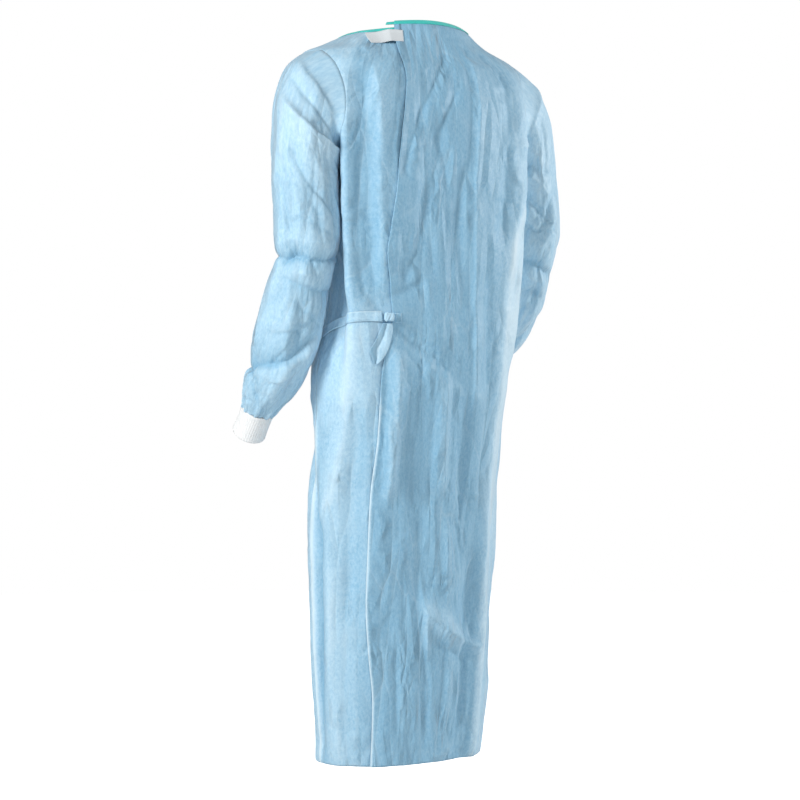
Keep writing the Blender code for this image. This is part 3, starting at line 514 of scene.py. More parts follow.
def makeCuffKnit():
    tool = addNodes("cuff knit", 0.85)
    grain = tool["noise"](900, 3)
    colour = tool["mix"]("MIX", tool["ramp"](grain, 0.3, 0.7, 0.0, 1.0), (0.90, 0.92, 0.91, 1.0), (0.97, 0.975, 0.97, 1.0))
    tool["links"].new(colour, tool["shader"].inputs["Base Color"])
    wave = tool["nodes"].new("ShaderNodeTexWave")
    wave.wave_type = "BANDS"
    wave.bands_direction = "Y"
    wave.inputs["Scale"].default_value = 180
    wave.inputs["Distortion"].default_value = 1.2
    tool["links"].new(tool["mapping"]((1, 1, 1)), wave.inputs["Vector"])
    normal = tool["bump"](wave.outputs["Fac"], 0.35, 0.0008)
    tool["links"].new(tool["bump"](grain, 0.4, 0.0006, normal), tool["shader"].inputs["Normal"])
    tool["shader"].inputs["Sheen Weight"].default_value = 0.4
    return tool["material"]


def makeNeckTape():
    tool = addNodes("neck tape", 0.5)
    grain = tool["noise"](500, 3, (0.3, 1.0, 1.0))
    colour = tool["mix"]("MIX", tool["ramp"](grain, 0.3, 0.7, 0.0, 1.0), (0.035, 0.60, 0.53, 1.0), (0.06, 0.72, 0.64, 1.0))
    tool["links"].new(colour, tool["shader"].inputs["Base Color"])
    tool["links"].new(tool["bump"](grain, 0.3, 0.0004), tool["shader"].inputs["Normal"])
    tool["shader"].inputs["Sheen Weight"].default_value = 0.2
    return tool["material"]


def makeHookLoop():
    tool = addNodes("hook and loop", 0.8)
    pile = tool["noise"](1200, 2)
    colour = tool["mix"]("MIX", tool["ramp"](pile, 0.3, 0.7, 0.0, 1.0), (0.62, 0.67, 0.69, 1.0), (0.76, 0.80, 0.82, 1.0))
    tool["links"].new(colour, tool["shader"].inputs["Base Color"])
    tool["links"].new(tool["bump"](pile, 0.5, 0.0006), tool["shader"].inputs["Normal"])
    tool["shader"].inputs["Sheen Weight"].default_value = 0.3
    return tool["material"]


gownCloth = makeGownCloth()
cuffKnit = makeCuffKnit()
neckTape = makeNeckTape()
hookLoop = makeHookLoop()
print("cloth, knit, tape and tab materials made")


# A sheet starts as a flat grid; each point moves to place(across, up), which also gives its place on the flat cloth
# and a value for its colour: where two layers lie, painted shade (above 0) and painted highlight (below 0)
def makeSheet(name, columns, rows, place, material, wall=None, ring=False):
    shape = bmesh.new()
    bmesh.ops.create_grid(shape, x_segments=columns, y_segments=rows, size=0.5)
    layersAndPaintedShade = shape.verts.layers.float.new("layersAndPaintedShade")
    flat = shape.loops.layers.uv.new("flat")
    flats = {}
    for vertex in shape.verts:
        across = round((vertex.co.x + 0.5) * columns)
        up = round((vertex.co.y + 0.5) * rows)
        point, spot, layers = place(across, up)
        vertex.co = point
        vertex[layersAndPaintedShade] = layers
        flats[vertex] = spot
    for face in shape.faces:
        face.smooth = True
        for loop in face.loops:
            loop[flat].uv = flats[loop.vert]
    if ring:
        bmesh.ops.remove_doubles(shape, verts=shape.verts, dist=0.00001)
    mesh = bpy.data.meshes.new(name)
    shape.to_mesh(mesh)
    shape.free()
    thing = bpy.data.objects.new(name, mesh)
    bpy.context.scene.collection.objects.link(thing)
    mesh.materials.append(material)
    wallModifier = thing.modifiers.new("wall", "SOLIDIFY")
    wallModifier.thickness = wall or gown["clothWall"]
    wallModifier.offset = -1.0
    wallModifier.use_even_offset = True
    return thing


def finishPiece(thing, node, slot, flat, held, rests, **facts):
    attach(thing, "root")
    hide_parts(node)
    return thing


# The three panels
def innerShadow(angle, height):
    # painted shade: 1 where the inner back panel lies under the outer one, its edge showing through the skirt, a
    # lower painted shade where one layer hangs, and below 0 a painted highlight (rim) along the right edge of the
    # back
    blur = smoothStep((height + 0.86) / 0.14)
    under = smoothStep((angle - gown["innerEdge"] + 16 * blur) / (2.5 + 40 * blur))
    start = -44.0 - 12.0 * smoothStep((height + 0.38) / 0.12)
    rim = smoothStep((start - angle) / 9.0) * (1.0 - smoothStep((-66.0 - angle) / 18.0))
    rim *= smoothStep((height + 1.00) / 0.34) * smoothStep((-0.09 - height) / 0.05)
    single = 0.30 + 0.25 * blur
    return (single + (1.0 - single) * under) * (1.0 - rim) - 0.42 * rim


def frontPlace(across, up):
    row = panelRows[up]
    opening = 0.0
    if gown["armholeBottom"] < row < gown["armholeTop"]:
        opening = armholeAngle(row, gown["armholeFront"])
    edge = 90.0 + opening
    angle = 360.0 - edge - (360.0 - 2 * edge) * across / panelGrid["front"]
    height = rowHeight(row, angle)
    sink = clothSink(angle, height)
    # painted shade: a faint base shade, and painted shade and highlight along the folds
    return clothPoint(angle, height, sink=sink), flatBody(angle, height), 0.1 + paintedFoldShade(sink)


def leftPlace(across, up):
    row = panelRows[up]
    edge = 90.0
    if gown["armholeBottom"] < row < gown["armholeTop"]:
        edge -= armholeAngle(row, gown["armholeBack"])
    angle = edge + (gown["innerEdge"] - edge) * across / panelGrid["left"]
    height = rowHeight(row, angle)
    # painted shade: the inner back panel is darker on the back above the waist
    shade = 0.12 + 0.66 * smoothStep((height + 0.53) / 0.10) * smoothStep((66.0 - angle) / 6.0)
    # the painted shade fades out towards the sleeve on the shoulder
    shade *= 1.0 - (1.0 - smoothStep((edge - angle) / 16.0)) * smoothStep((height + 0.21) / 0.07)
    # painted shade: the skirt is darker near the hem and along the outer panel's edge
    skirt = smoothStep((-0.62 - height) / 0.06)
    shade += 0.30 * smoothStep((-0.90 - height) / 0.25)
    shade += 0.35 * skirt * smoothStep((63.0 - angle) / 4.0)
    sink = clothSink(angle, height)
    low = smoothStep((-0.64 - height) / 0.05)
    # painted shade and highlight along the folds, and a band of painted shade beside the side seam
    shade += paintedFoldShade(sink) + 0.38 * low * exp(-((angle - 84.0) / 5.0) ** 2)
    if across <= 2:
        # the side seam of the skirt catches the light
        shade -= (shade + 0.75) * (1.0 - 0.35 * across) * low
    return clothPoint(angle, height, sink=sink), flatBody(angle, height), shade


def rightPlace(across, up):
    row = panelRows[up]
    edge = -90.0
    if gown["armholeBottom"] < row < gown["armholeTop"]:
        edge += armholeAngle(row, gown["armholeBack"])
    free = readCurve(freeEdgeCurve, rowHeight(row, 42.0, True))
    angle = free + (edge - free) * across / panelGrid["right"]
    height = rowHeight(row, angle, True)
    sink = clothSink(angle, height)
    point = clothPoint(angle, height, outerLift(angle, height), sink=sink)
    shade = innerShadow(angle, height) + paintedFoldShade(sink)
    if across <= 1:
        # light falls through the free edge of the skirt
        shade -= (shade + 0.75) * (1.0 - 0.4 * across) * smoothStep((-0.60 - height) / 0.05)
    return point, flatBody(angle, height), shade


lastRow = len(panelRows) - 1
frontPanel = makeSheet("front_cloth", panelGrid["front"], lastRow, frontPlace, gownCloth)
finishPiece(frontPanel, "front_panel", "gown_cloth", (0.62, 1.24), "hung", ["front_panel"], area=0.62)
leftPanel = makeSheet("inner_back_cloth", panelGrid["left"], lastRow, leftPlace, gownCloth)
finishPiece(leftPanel, "back_panel_left", "gown_cloth", (0.42, 1.26), "hung", ["back_panel_left"], area=0.46)
rightPanel = makeSheet("outer_back_cloth", panelGrid["right"], lastRow, rightPlace, gownCloth)
finishPiece(rightPanel, "back_panel_right", "gown_cloth", (0.42, 1.26), "hung", ["back_panel_right"], area=0.46)
print("front and back panels cut and hung")


# Sleeves: sections past the armhole, as the solids have them
sleeveNames = ("out", "back", "height", "across", "deep", "tip", "lean")
leftSections = (
    (0.1945, 0.024, -0.1555, 0.0970, 0.078, 18.9, 0.0),
    (0.206, 0.030, -0.171, 0.0885, 0.073, 27.7, 0.0),
    (0.2135, 0.038, -0.1925, 0.0775, 0.067, 39.4, 0.0),
    (0.216, 0.046, -0.221, 0.0641, 0.062, 55.8, 0.0),
    (0.2175, 0.052, -0.2575, 0.0574, 0.059, 77.4, 0.0),
    (0.218, 0.056, -0.298, 0.0566, 0.057, 86.0, 0.0),
    (0.2185, 0.059, -0.335, 0.0562, 0.056, 89.0, 0.0),
    (0.2195, 0.060, -0.365, 0.0555, 0.055, 90.0, 5.0),
    (0.221, 0.058, -0.390, 0.054, 0.053, 90.0, 12.0),
    (0.223, 0.052, -0.415, 0.050, 0.050, 90.0, 20.0),
    (0.226, 0.046, -0.440, 0.052, 0.052, 90.0, 26.0),
    (0.230, 0.039, -0.468, 0.0535, 0.053, 90.0, 28.0),
    (0.234, 0.030, -0.500, 0.0555, 0.054, 90.0, 30.0),
    (0.238, 0.017, -0.532, 0.056, 0.054, 90.0, 30.0),
    (0.241, 0.002, -0.562, 0.053, 0.052, 90.0, 31.0),
    (0.244, -0.013, -0.589, 0.050, 0.048, 90.0, 32.0),
    (0.247, -0.029, -0.613, 0.044, 0.042, 90.0, 36.0),
    (0.249, -0.042, -0.631, 0.035, 0.034, 90.0, 40.0),
    (0.251, -0.052, -0.642, 0.029, 0.029, 90.0, 42.0),
)
rightSections = leftSections[:7] + (
    (0.214, 0.058, -0.365, 0.0530, 0.055, 90.0, 5.0),
    (0.211, 0.053, -0.390, 0.0495, 0.053, 90.0, 16.0),
    (0.216, 0.042, -0.412, 0.0475, 0.050, 90.0, 28.0),
    (0.222, 0.024, -0.433, 0.0495, 0.051, 90.0, 40.0),
    (0.225, 0.001, -0.454, 0.052, 0.052, 90.0, 46.0),
    (0.226, -0.025, -0.476, 0.053, 0.053, 90.0, 48.0),
    (0.226, -0.050, -0.497, 0.053, 0.053, 90.0, 48.0),
    (0.225, -0.076, -0.518, 0.051, 0.051, 90.0, 48.0),
    (0.223, -0.100, -0.538, 0.048, 0.047, 90.0, 48.0),
    (0.221, -0.121, -0.556, 0.042, 0.041, 90.0, 49.0),
    (0.219, -0.137, -0.570, 0.034, 0.034, 90.0, 50.0),
    (0.218, -0.148, -0.579, 0.029, 0.029, 90.0, 50.0),
)
sleeveGrid = {"around": 152, "along": 220, "turnRadius": 0.055}
# Each row has its points as (turn, section): 0 is the outside of the arm, 90 the back of it
leftFolds = (
    (((10, 0.0), (24, 0.1), (40, 0.3), (68, 0.2), (88, 0.0), (104, -0.4)), 20, 2.5, -8, 1.0),
    (((16, 1.9), (32, 2.1), (52, 2.3), (80, 2.4), (108, 2.1), (130, 1.0), (140, 0.1)), 24, 2.5, -10, 1.0),
    (((20, 1.0), (48, 1.3), (84, 1.2), (112, 0.8), (128, 0.2)), 3, 9, 4.5, 1.0),
    (((36, 3.4), (64, 4.4), (92, 5.0), (116, 5.6)), 3, 10, 4.5, 1.0),
    (((14, 4.6), (24, 5.6), (28, 6.6)), 2.5, 8, 3.5, 1.0),
    (((100, 3.2), (112, 4.2), (122, 5.4), (126, 6.6)), 8, 3, 4, 1.0),
    (((48, 2.7), (60, 3.3), (76, 3.8), (96, 4.1)), 16, 11, -3, 1.3),
    (((120, 2.9), (140, 3.0), (148, 3.7)), 4, 6, 3.5, 1.1),
    (((60, 4.6), (84, 5.6), (92, 6.6)), 14, 10, 3, 1.5),
    (((8, 7.2), (36, 6.9), (68, 7.0), (120, 7.4)), 8, 12, -4.5, 1.3),
    (((30, 8.2), (44, 7.9), (76, 8.1), (104, 8.1), (156, 8.0)), 3, 9, 10, 1.0),
    (((76, 8.1), (92, 8.6)), 4, 5, 3, 1.0),
    (((-60, 8.6), (-30, 8.5), (-14, 8.2), (4, 8.1), (24, 8.3), (48, 8.0)), 5, 10, 9, 1.1),
    (((30, 9.2), (72, 9.4), (120, 9.7), (156, 9.9)), 12, 3, 7, 1.0),
    (((40, 9.8), (28, 10.4), (-12, 11.3)), 12, 12, 3, 1.6),
    (((36, 8.7), (60, 8.75), (84, 8.7)), 6, 2.5, -4, 1.0),
    (((28, 6.2), (50, 5.9), (84, 6.2), (120, 6.7)), 9, 3, 3.5, 1.1),
    (((66, 10.4), (96, 10.9), (130, 11.6)), 4, 12, 4, 1.1),
    (((20, 12.2), (50, 12.0), (84, 11.6), (112, 11.0)), 12, 3, 3.5, 1.1),
    (((40, 14.3), (64, 14.5), (92, 13.9), (116, 13.3)), 3, 8, -4, 1.0),
    (((10, 3.6), (30, 4.4), (44, 5.4)), 9, 3, 2.6, 1.2),
    (((-70, 15.0), (-20, 14.9), (0, 14.7), (12, 14.2), (32, 13.9), (60, 13.6), (80, 13.3), (100, 12.7), (124, 12.1)),
     3, 17, 11, 1.0),
    (((128, 12.6), (96, 13.2), (80, 13.8), (72, 14.9), (68, 16.1)), 9, 7, -4, 1.3),
    (((8, 14.6), (20, 15.2), (40, 15.9)), 5, 6, 3.5, 1.2),
    (((28, 15.6), (60, 16.6)), 4, 4, 3, 1.2),
    (((68, 15.4), (72, 17.0)), 4, 5, 3, 1.2),
    (((100, 14.6), (96, 16.8)), 4, 5, 3, 1.2),
    (((330, 1.2), (250, 2.0)), 14, 10, 6, 1.4),
    (((320, 3.0), (270, 4.6)), 10, 12, -4, 1.4),
    (((200, 8.4), (260, 8.8), (330, 8.4)), 12, 8, 6, 1.3),
    (((210, 9.8), (300, 9.4)), 10, 8, 4, 1.4),
    (((220, 12.5), (300, 13.5)), 12, 10, 5, 1.4),
    (((200, 14.6), (280, 15.2)), 8, 8, 4, 1.4),
)
rightFolds = (
    (((20, 0.4), (60, 0.5), (96, 0.2)), 6, 14, -4, 1.2),
    (((120, 0.4), (104, 1.6), (96, 2.6), (90, 4.0)), 7, 9, -4, 1.2),
    (((132, 1.8), (112, 2.4), (96, 3.3), (70, 3.7)), 6, 10, 5, 1.2),
    (((128, 4.2), (108, 4.9), (88, 5.4), (70, 4.6)), 6, 8, 5, 1.2),
    (((60, 5.2), (84, 6.4), (100, 7.0)), 10, 8, -3.5, 1.3),
    (((136, 7.6), (108, 7.6), (88, 7.8), (44, 8.3)), 4, 10, 11, 1.0),
    (((128, 8.4), (96, 8.5), (52, 8.9)), 7, 6, -4, 1.2),
    (((112, 10.4), (96, 9.8), (70, 9.2)), 8, 8, 4, 1.3),
    (((30, 11.0), (70, 12.0), (110, 13.4)), 9, 12, 5, 1.4),
    (((20, 15.4), (60, 14.6), (110, 14.0), (140, 13.2)), 6, 12, 6, 1.3),
    (((90, 14.6), (80, 16.6)), 5, 5, 3.5, 1.2),
    (((130, 5.6), (104, 6.3), (76, 6.0), (52, 5.4)), 3, 9, 4, 1.1),
    (((134, 3.0), (110, 3.5), (84, 4.4)), 3, 8, -3.5, 1.0),
    (((124, 9.4), (98, 9.1), (66, 9.6)), 3, 8, 4.5, 1.1),
    (((330, 1.2), (250, 2.0)), 14, 10, 6, 1.4),
    (((300, 3.4), (240, 5.0)), 10, 12, -4, 1.4),
    (((200, 7.8), (260, 8.2), (320, 7.6)), 12, 8, 6, 1.3),
    (((210, 9.6), (300, 10.2)), 10, 8, 4, 1.4),
    (((220, 12.0), (300, 13.2)), 12, 10, 5, 1.4),
    (((200, 14.8), (280, 15.0)), 8, 8, 4, 1.4),
)


def tubePoint(section, turn, side):
    tip, lean = radians(section["tip"]), radians(section["lean"])
    outward = Vector((sin(tip), 0.0, cos(tip)))
    forward = Vector((cos(tip), 0.0, -sin(tip)))
    backward = Vector((0.0, cos(lean), 0.0)) + forward * sin(lean)
    middle = Vector((section["out"], section["back"], section["height"]))
    point = (middle + outward * section["across"] * cos(radians(turn))
             + backward * section["deep"] * sin(radians(turn)))
    return Vector((point.x * side, point.y, point.z))


def armholePoint(turn, side, inset=0.0):
    # a point of the armhole's edge, or of the panel beside it when inset
    turn = turn % 360.0
    back = turn <= 180.0
    share = turn / 180.0 if back else (360.0 - turn) / 180.0
    middle = (gown["armholeTop"] + gown["armholeBottom"]) / 2
    half = (gown["armholeTop"] - gown["armholeBottom"]) / 2
    row = middle + half * cos(pi * share)
    opening = armholeAngle(row, gown["armholeBack"] if back else gown["armholeFront"])
    grow = 1.0 + inset
    opening *= grow
    row = middle + (row - middle) * grow
    angle = side * (90.0 - opening if back else 90.0 + opening)
    return clothPoint(angle, rowHeight(min(row, -0.012), angle), -0.0002)


def sweepRings(rings, place):
    # a smooth curve through one point of each ring
    low = min(len(rings) - 2, int(place))
    share = place - low
    before = rings[low - 1] if low > 0 else rings[0]
    after = rings[low + 2] if low + 2 < len(rings) else rings[-1]
    a, b = rings[low], rings[low + 1]
    firstSlope, lastSlope = (b - before) * 0.5, (after - a) * 0.5
    s2, s3 = share * share, share ** 3
    return (a * (2 * s3 - 3 * s2 + 1) + firstSlope * (s3 - 2 * s2 + share)
            + b * (3 * s2 - 2 * s3) + lastSlope * (s3 - s2))


def makeSleeve(side, sections, folds, name, seed):
    around, along = sleeveGrid["around"], sleeveGrid["along"]
    centres = [Vector((0.185, 0.030, -0.146))] + [Vector(row[:3]) for row in sections]
    lengths = [0.0]
    for before, after in zip(centres, centres[1:]):
        lengths.append(lengths[-1] + (after - before).length)
    tables = [dict(zip(sleeveNames, row)) for row in sections]
    last = len(sections)

    def lengthAt(place):
        low = min(last - 1, int(place))
        return lengths[low] + (lengths[low + 1] - lengths[low]) * (place - low)

    def placeAt(length):
        low = next(spot for spot in range(last) if lengths[spot + 1] >= length - 1e-9)
        return low + (length - lengths[low]) / (lengths[low + 1] - lengths[low])

    def flatSleeve(turn, section):
        return radians(turn) * sleeveGrid["turnRadius"], lengthAt(section + 1.0)

    lines = readFolds(folds, flatSleeve, 1.15)
    base = []
    for step in range(around):
        turn = 180.0 + 360.0 * step / around
        lap = 0.10 * smoothStep((cos(radians(turn)) + 0.80) / 0.50)
        rings = [armholePoint(turn, side, lap + 0.22), armholePoint(turn, side, lap)]
        rings += [tubePoint(section, turn, side) for section in tables]
        base.append([sweepRings(rings, 1.0 + placeAt(lengths[-1] * row / along)) for row in range(along + 1)])

    def place(across, up):
        # the grid runs from the cuff up to the armhole, and from the underarm seam round the arm
        row = along - up
        whole = across if side > 0 else around - across
        step = whole % around
        turn = 180.0 + 360.0 * whole / around
        near, far = base[(step - 1) % around], base[(step + 1) % around]
        column = base[step]
        low, high = max(0, row - 1), min(along, row + 1)
        face = (far[row] - near[row]).cross(column[high] - column[low]).normalized() * -side
        length = lengths[-1] * row / along
        x = radians(turn) * sleeveGrid["turnRadius"]
        full = 2 * pi * sleeveGrid["turnRadius"]
        sink = foldDepth(lines, x, length) + foldDepth(lines, x - full, length) + foldDepth(lines, x + full, length)
        seam = smoothStep(length / 0.03)
        crease = crumple(0.06 * cos(radians(turn)) + length * 0.3, length + 0.06 * sin(radians(turn)), 0.0034, seed)
        gather = smoothStep((length - lengths[-1] + 0.07) / 0.07)
        pleats = sin(radians(turn) * 11 + 1.5 * sin(radians(turn) * 3)) + 0.6 * sin(radians(turn) * 17 + 1.0)
        sink = sink * seam + crease * seam + gather * 0.0017 * pleats
        # painted shade in the troughs, made stronger, and a weaker painted highlight on the ridges, over a faint
        # base shade
        sleeveFoldShade = paintedFoldShade(sink) * (1.7 if sink > 0.0 else 0.35)
        return column[row] - face * sink, (x * side, -length), 0.08 + sleeveFoldShade

    thing = makeSheet(name, around, along, place, gownCloth, ring=True)
    return thing, tables[-1]


leftSleeve, leftWrist = makeSleeve(1.0, leftSections, leftFolds, "left_sleeve_cloth", 21.0)
finishPiece(leftSleeve, "sleeve_left", "gown_cloth", (0.42, 0.66), "hung", ["sleeve_left"], area=0.22)
rightSleeve, rightWrist = makeSleeve(-1.0, rightSections, rightFolds, "right_sleeve_cloth", 34.0)
finishPiece(rightSleeve, "sleeve_right", "gown_cloth", (0.42, 0.66), "hung", ["sleeve_right"], area=0.22)
print("sleeves set in")


# Knitted cuffs
cuff = {"length": 0.055, "wall": 0.0018, "ribs": 44, "ribDepth": 0.00025, "along": 26}


def makeCuff(side, wrist, name):
    columns = cuff["ribs"] * 4
    lean = radians(wrist["lean"])

    def place(across, up):
        turn = 180.0 + 360.0 * (across if side > 0 else columns - across) / columns
        reach = cuff["length"] * (1.0 - up / cuff["along"])
        spot = dict(wrist)
        spot["back"] -= reach * sin(lean)
        spot["height"] -= reach * cos(lean)
        rib = cuff["ribDepth"] * cos(radians(turn) * cuff["ribs"])
        waist = 0.0012 * sin(pi * reach / cuff["length"])
        spot["across"] += rib - waist
        spot["deep"] += rib - waist
        return tubePoint(spot, turn, side), (radians(turn) * 0.029, -reach), 0.0

    return makeSheet(name, columns, cuff["along"], place, cuffKnit, wall=cuff["wall"], ring=True)


leftCuff = makeCuff(1.0, leftWrist, "left_cuff_knit")
finishPiece(leftCuff, "cuff_left", "cuff_knit", (0.184, 0.055), "stretched", ["sleeve_left"])
rightCuff = makeCuff(-1.0, rightWrist, "right_cuff_knit")
finishPiece(rightCuff, "cuff_right", "cuff_knit", (0.184, 0.055), "stretched", ["sleeve_right"])
print("cuffs knitted on")


# Neck tape, folded over the neckline
neck = {"width": 0.008, "wall": 0.0008, "clear": 0.0003, "along": 260, "across": 14}


def neckFrame(angle, corner):
    height = neckHeight(angle, corner)
    lift = outerLift(angle, height) if corner else 0.0
    point = clothPoint(angle, height, lift)
    upward = (point - clothPoint(angle, height - 0.004, lift)).normalized()
    outward = bodyNormal(angle, height)
    outward = (outward - upward * outward.dot(upward)).normalized()
    return point, outward, upward


def belowNeck(angle, corner, out, down, rise):
    height = neckHeight(angle, corner) - down * rise
    lift = outerLift(angle, height) if corner else 0.0
    return clothPoint(angle, height, lift + out)


def neckAngle(share):
    # from the hidden corner, round by the left shoulder and the front, to the outer corner
    first, last = gown["innerEdge"], 360.0 + 42.0
    return first + (last - first) * share


def bindingPlace(across, up):
    angle = neckAngle(1.0 - across / neck["along"])
    corner = angle > 270.0
    point, outward, upward = neckFrame(angle, corner)
    side = up / neck["across"]
    out = neck["clear"] + neck["wall"]
    inner = gown["clothWall"] + neck["clear"] + neck["wall"]
    leg = 0.38
    if side < leg:
        spot = belowNeck(angle, corner, out, neck["width"] * (1.0 - side / leg), upward.z)
    elif side > 1.0 - leg:
        spot = belowNeck(angle, corner, -inner, neck["width"] * (1.0 - (1.0 - side) / leg), upward.z)
    else:
        turn = pi * (side - leg) / (1.0 - 2 * leg)
        middle, half = (out - inner) / 2, (out + inner) / 2
        spot = point + outward * (middle + half * cos(turn)) + upward * half * 1.1 * sin(turn)
    return spot, (radians(angle) * 0.1, side * 0.02), 0.0


binding = makeSheet("neck_binding_tape", neck["along"], neck["across"], bindingPlace, neckTape, wall=neck["wall"])
finishPiece(binding, "neck_binding", "neck_tape", (0.62, 0.020), "folded", ["back_panel_left"])

tapeEnd = {"start": -2.0, "stop": 51.0, "along": 60, "across": 6, "low": 0.0028, "rise": 0.0045}


def tapeEndPlace(across, up):
    share = 1.0 - across / tapeEnd["along"]
    angle = tapeEnd["start"] + (tapeEnd["stop"] - tapeEnd["start"]) * share
    point, outward, upward = neckFrame(angle, True)
    near = gown["clothWall"] + 2 * neck["clear"] + 2 * neck["wall"] + 0.0008
    top = tapeEnd["low"] + tapeEnd["rise"] * share
    low = top - neck["width"]
    height = low + (top - low) * up / tapeEnd["across"]
    return point - outward * near + upward * height, (radians(angle) * 0.1, height), 0.0


tapeTail = makeSheet("neck_tape_tail", tapeEnd["along"], tapeEnd["across"], tapeEndPlace, neckTape, wall=0.0011)
finishPiece(tapeTail, "neck_tape_end", "neck_tape", (0.085, 0.010), "folded", ["back_panel_right"])

# The tab's stations, from its free end: angle at its top and at its bottom, and its share of the
# outer panel's lift
tab = {"top": -0.0135, "bottom": -0.0345, "clear": 0.0004, "wall": 0.0011, "along": 56, "across": 16}
tabStations = (
    (66.0, 56.5, 0.0), (61.5, 53.5, 0.05), (57.0, 50.5, 0.15), (52.5, 47.5, 0.40), (48.5, 45.0, 0.75),
    (45.0, 42.8, 1.0), (42.0, 40.3, 1.0), (38.0, 37.2, 1.0), (33.5, 33.5, 1.0),
)


def tabPlace(across, up):
    key = (len(tabStations) - 1) * across / tab["along"]
    topAngle, bottomAngle, over = [
        readCurve([(spot, row[part]) for spot, row in enumerate(tabStations)], key) for part in range(3)]
    share = up / tab["across"]
    angle = bottomAngle + (topAngle - bottomAngle) * share
    height = tab["bottom"] + (tab["top"] - tab["bottom"]) * share
    lift = outerLift(angle, height) * over + tab["clear"] + tab["wall"]
    return clothPoint(angle, height, lift), (radians(angle) * 0.1, height), 0.0


neckTab = makeSheet("neck_tab_strip", tab["along"], tab["across"], tabPlace, hookLoop, wall=tab["wall"])
finishPiece(neckTab, "neck_tab", "hook_and_loop", (0.062, 0.024), "laid", ["back_panel_right"])
print("neck bound and closed")


# Waist ties: points of the middle line as (angle, height, lift)
ties = {"width": 0.017, "wall": 0.0010, "patchWidth": 0.016}
longTie = (
    (47.5, -0.4905, 0.0054), (49.5, -0.4905, 0.0040), (52.0, -0.4905, 0.0029), (55.0, -0.4905, 0.0024),
    (67.0, -0.4945, 0.0024), (80.0, -0.5030, 0.0024), (91.0, -0.5170, 0.0024), (110.0, -0.5280, 0.0024),
    (130.0, -0.5280, 0.0024), (153.0, -0.5220, 0.0022),
)
patchLine = ((36.5, -0.4930, 0.0050), (40.5, -0.4930, 0.0050))


def makeStrip(name, line, width, columns, rows, folded, shade):
    heights = [(row[0], row[1]) for row in line]
    lifts = [(row[0], row[2]) for row in line]
    first, last = line[0][0], line[-1][0]

    def place(across, up):
        angle = last + (first - last) * across / columns
        share = up / rows - 0.5
        height = readCurve(heights, angle) + share * width
        lift = readCurve(lifts, angle)
        lift += folded * (exp(-((abs(share) - 0.36) / 0.06) ** 2) - 0.4 * exp(-(share / 0.1) ** 2))
        # painted highlight along the strip's upper edge and a painted shade line along its lower fold, over the
        # strip's given shade
        edge = shade - 0.3 * exp(-((share - 0.5) / 0.10) ** 2) + 0.5 * exp(-((share + 0.34) / 0.05) ** 2)
        return clothPoint(angle, height, lift, 0.3), (radians(angle) * 0.16, share * width), edge

    return makeSheet(name, columns, rows, place, gownCloth, wall=ties["wall"])


waistTie = makeStrip("long_waist_tie", longTie, ties["width"], 180, 16, 0.0006, 0.0)
finishPiece(waistTie, "waist_tie_long", "gown_cloth", (0.29, 0.017), "hung", ["front_panel"])
tiePatch = makeStrip("waist_patch", patchLine, ties["patchWidth"], 12, 12, 0.0004, 0.85)
finishPiece(tiePatch, "waist_tie_patch", "gown_cloth", (0.0135, 0.016), "laid", ["back_panel_right"])

knot = {"angle": 44.2, "height": -0.4915, "lift": 0.0086, "half": (0.0088, 0.0052, 0.0092)}


def makeKnot():
    middle = clothPoint(knot["angle"], knot["height"], knot["lift"], 0.0)
    outward = bodyNormal(knot["angle"], knot["height"])
    along = outward.cross(Vector((0.0, 0.0, 1.0))).normalized()
    upward = along.cross(outward).normalized()
    shape = bmesh.new()
    bmesh.ops.create_icosphere(shape, subdivisions=5, radius=1.0)
    for vertex in shape.verts:
        place = vertex.co.copy()
        for part in range(3):  # fuller than a ball
            place[part] = (1 if place[part] > 0 else -1) * abs(place[part]) ** 0.75
        wrap = 1.0 + 0.07 * sin(place.x * 9.0 + place.z * 4.0) - 0.16 * exp(-((place.x + 0.3 * place.z) / 0.2) ** 2)
        pinch = 1.0 - 0.22 * (1.0 - abs(place.x))
        vertex.co = (middle + along * place.x * knot["half"][0] + outward * place.y * knot["half"][1] * wrap
                     + upward * place.z * knot["half"][2] * pinch * wrap)
    flat = shape.loops.layers.uv.new("flat")
    for face in shape.faces:
        face.smooth = True
        for loop in face.loops:
            loop[flat].uv = (loop.vert.co.x, loop.vert.co.z)
    mesh = bpy.data.meshes.new("waist_knot")
    shape.to_mesh(mesh)
    shape.free()
    thing = bpy.data.objects.new("waist_knot", mesh)
    bpy.context.scene.collection.objects.link(thing)
    mesh.materials.append(gownCloth)
    return thing


tieKnot = makeKnot()
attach(tieKnot, "root")
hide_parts("waist_tie_knot")

# The loose end: height, left and right angle, and lift
tailStations = (
    (-0.5022, 47.5, 42.3, 0.0080), (-0.5100, 48.7, 42.0, 0.0072), (-0.5240, 50.5, 42.8, 0.0062),
    (-0.5370, 52.8, 44.0, 0.0056), (-0.5470, 54.5, 45.0, 0.0054), (-0.5580, 53.4, 47.0, 0.0054),
    (-0.5690, 52.3, 50.6, 0.0054),
)
tail = {"columns": 20, "rows": 48}


def tailPlace(across, up):
    stations = sorted(tailStations)
    height = stations[0][0] + (stations[-1][0] - stations[0][0]) * up / tail["rows"]
    left, right, lift = [readCurve([(row[0], row[part]) for row in stations], height) for part in (1, 2, 3)]
    share = across / tail["columns"]
    angle = left + (right - left) * share
    lift -= 0.0032 * exp(-abs(share - 0.42) / 0.18)
    # painted shade over the left part of the loose end, up to its valley, which faces away from the key light
    shade = 0.75 * smoothStep((0.44 - share) / 0.10)
    return clothPoint(angle, height, lift, 0.0), (radians(angle) * 0.16, height), shade


tieTail = makeSheet("waist_tail", tail["columns"], tail["rows"], tailPlace, gownCloth, wall=ties["wall"])
finishPiece(tieTail, "waist_tie_tail", "gown_cloth", (0.020, 0.068), "hung", ["back_panel_left"])
print("waist tied")


# Floor, light and camera
stage = {"floor": -1.45, "floorRadius": 6.0, "floorColour": (0.92, 0.92, 0.92, 1.0)}


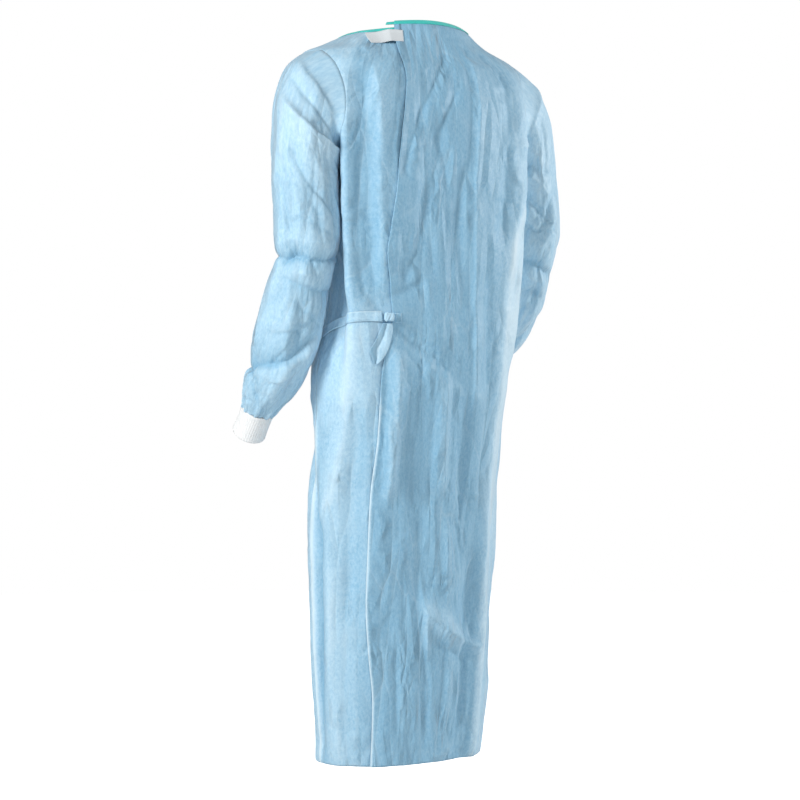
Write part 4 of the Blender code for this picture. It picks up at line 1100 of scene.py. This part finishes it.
def makeFloor():
    shape = bmesh.new()
    bmesh.ops.create_circle(shape, cap_ends=True, segments=96, radius=stage["floorRadius"])
    for vertex in shape.verts:
        vertex.co.z = stage["floor"]
    mesh = bpy.data.meshes.new("floor")
    shape.to_mesh(mesh)
    shape.free()
    thing = bpy.data.objects.new("floor", mesh)
    bpy.context.scene.collection.objects.link(thing)
    material = bpy.data.materials.new("pale floor")
    material.use_nodes = True
    nodes, links = material.node_tree.nodes, material.node_tree.links
    shader = nodes["Principled BSDF"]
    shader.inputs["Base Color"].default_value = stage["floorColour"]
    shader.inputs["Roughness"].default_value = 0.9
    shader.inputs["Emission Color"].default_value = (1.0, 1.0, 1.0, 1.0)
    path = nodes.new("ShaderNodeLightPath")
    links.new(path.outputs["Is Camera Ray"], shader.inputs["Emission Strength"])
    mesh.materials.append(material)


def addLight(name, spot, aim, size, power, colour=(1.0, 1.0, 1.0)):
    data = bpy.data.lights.new(name, "AREA")
    data.shape = "DISK"
    data.size = size
    data.energy = power
    data.color = colour
    lamp = bpy.data.objects.new(name, data)
    bpy.context.scene.collection.objects.link(lamp)
    lamp.location = spot
    lamp.rotation_euler = (Vector(aim) - Vector(spot)).to_track_quat("-Z", "Y").to_euler()


def makeWorld():
    bpy.context.scene.view_settings.view_transform = "Standard"
    world = bpy.data.worlds.new("studio")
    bpy.context.scene.world = world
    world.use_nodes = True
    nodes, links = world.node_tree.nodes, world.node_tree.links
    back = nodes["Background"]
    back.inputs["Color"].default_value = (0.93, 0.96, 1.0, 1.0)
    back.inputs["Strength"].default_value = 0.25
    seen = nodes.new("ShaderNodeBackground")
    seen.inputs["Color"].default_value = (1.0, 1.0, 1.0, 1.0)
    seen.inputs["Strength"].default_value = 1.0
    path = nodes.new("ShaderNodeLightPath")
    blend = nodes.new("ShaderNodeMixShader")
    links.new(path.outputs["Is Camera Ray"], blend.inputs["Fac"])
    links.new(back.outputs["Background"], blend.inputs[1])
    links.new(seen.outputs["Background"], blend.inputs[2])
    links.new(blend.outputs["Shader"], nodes["World Output"].inputs["Surface"])


view = {"azimuth": 150.0, "distance": 4.0, "height": -0.6285, "focal": 2323.0, "imageWidth": 800, "axisPixel": 403}


def makeCamera():
    data = bpy.data.cameras.new("camera")
    data.sensor_width = 36.0
    data.lens = view["focal"] * data.sensor_width / view["imageWidth"]
    data.shift_x = (view["imageWidth"] / 2 - view["axisPixel"]) / view["imageWidth"]
    camera = bpy.data.objects.new("camera", data)
    bpy.context.scene.collection.objects.link(camera)
    turn = radians(view["azimuth"])
    camera.location = (view["distance"] * sin(turn), -view["distance"] * cos(turn), view["height"])
    camera.rotation_euler = (pi / 2, 0.0, turn)
    bpy.context.scene.camera = camera


makeFloor()
makeWorld()
addLight("key", (3.1, 0.7, 0.7), (0.0, 0.0, -0.5), 1.1, 80)
addLight("fill", (0.6, 4.0, 1.2), (0.0, 0.0, -0.6), 1.6, 34)
addLight("rim", (-2.9, 0.8, 0.4), (0.0, 0.0, -0.5), 0.6, 52)
makeCamera()
print("studio set")
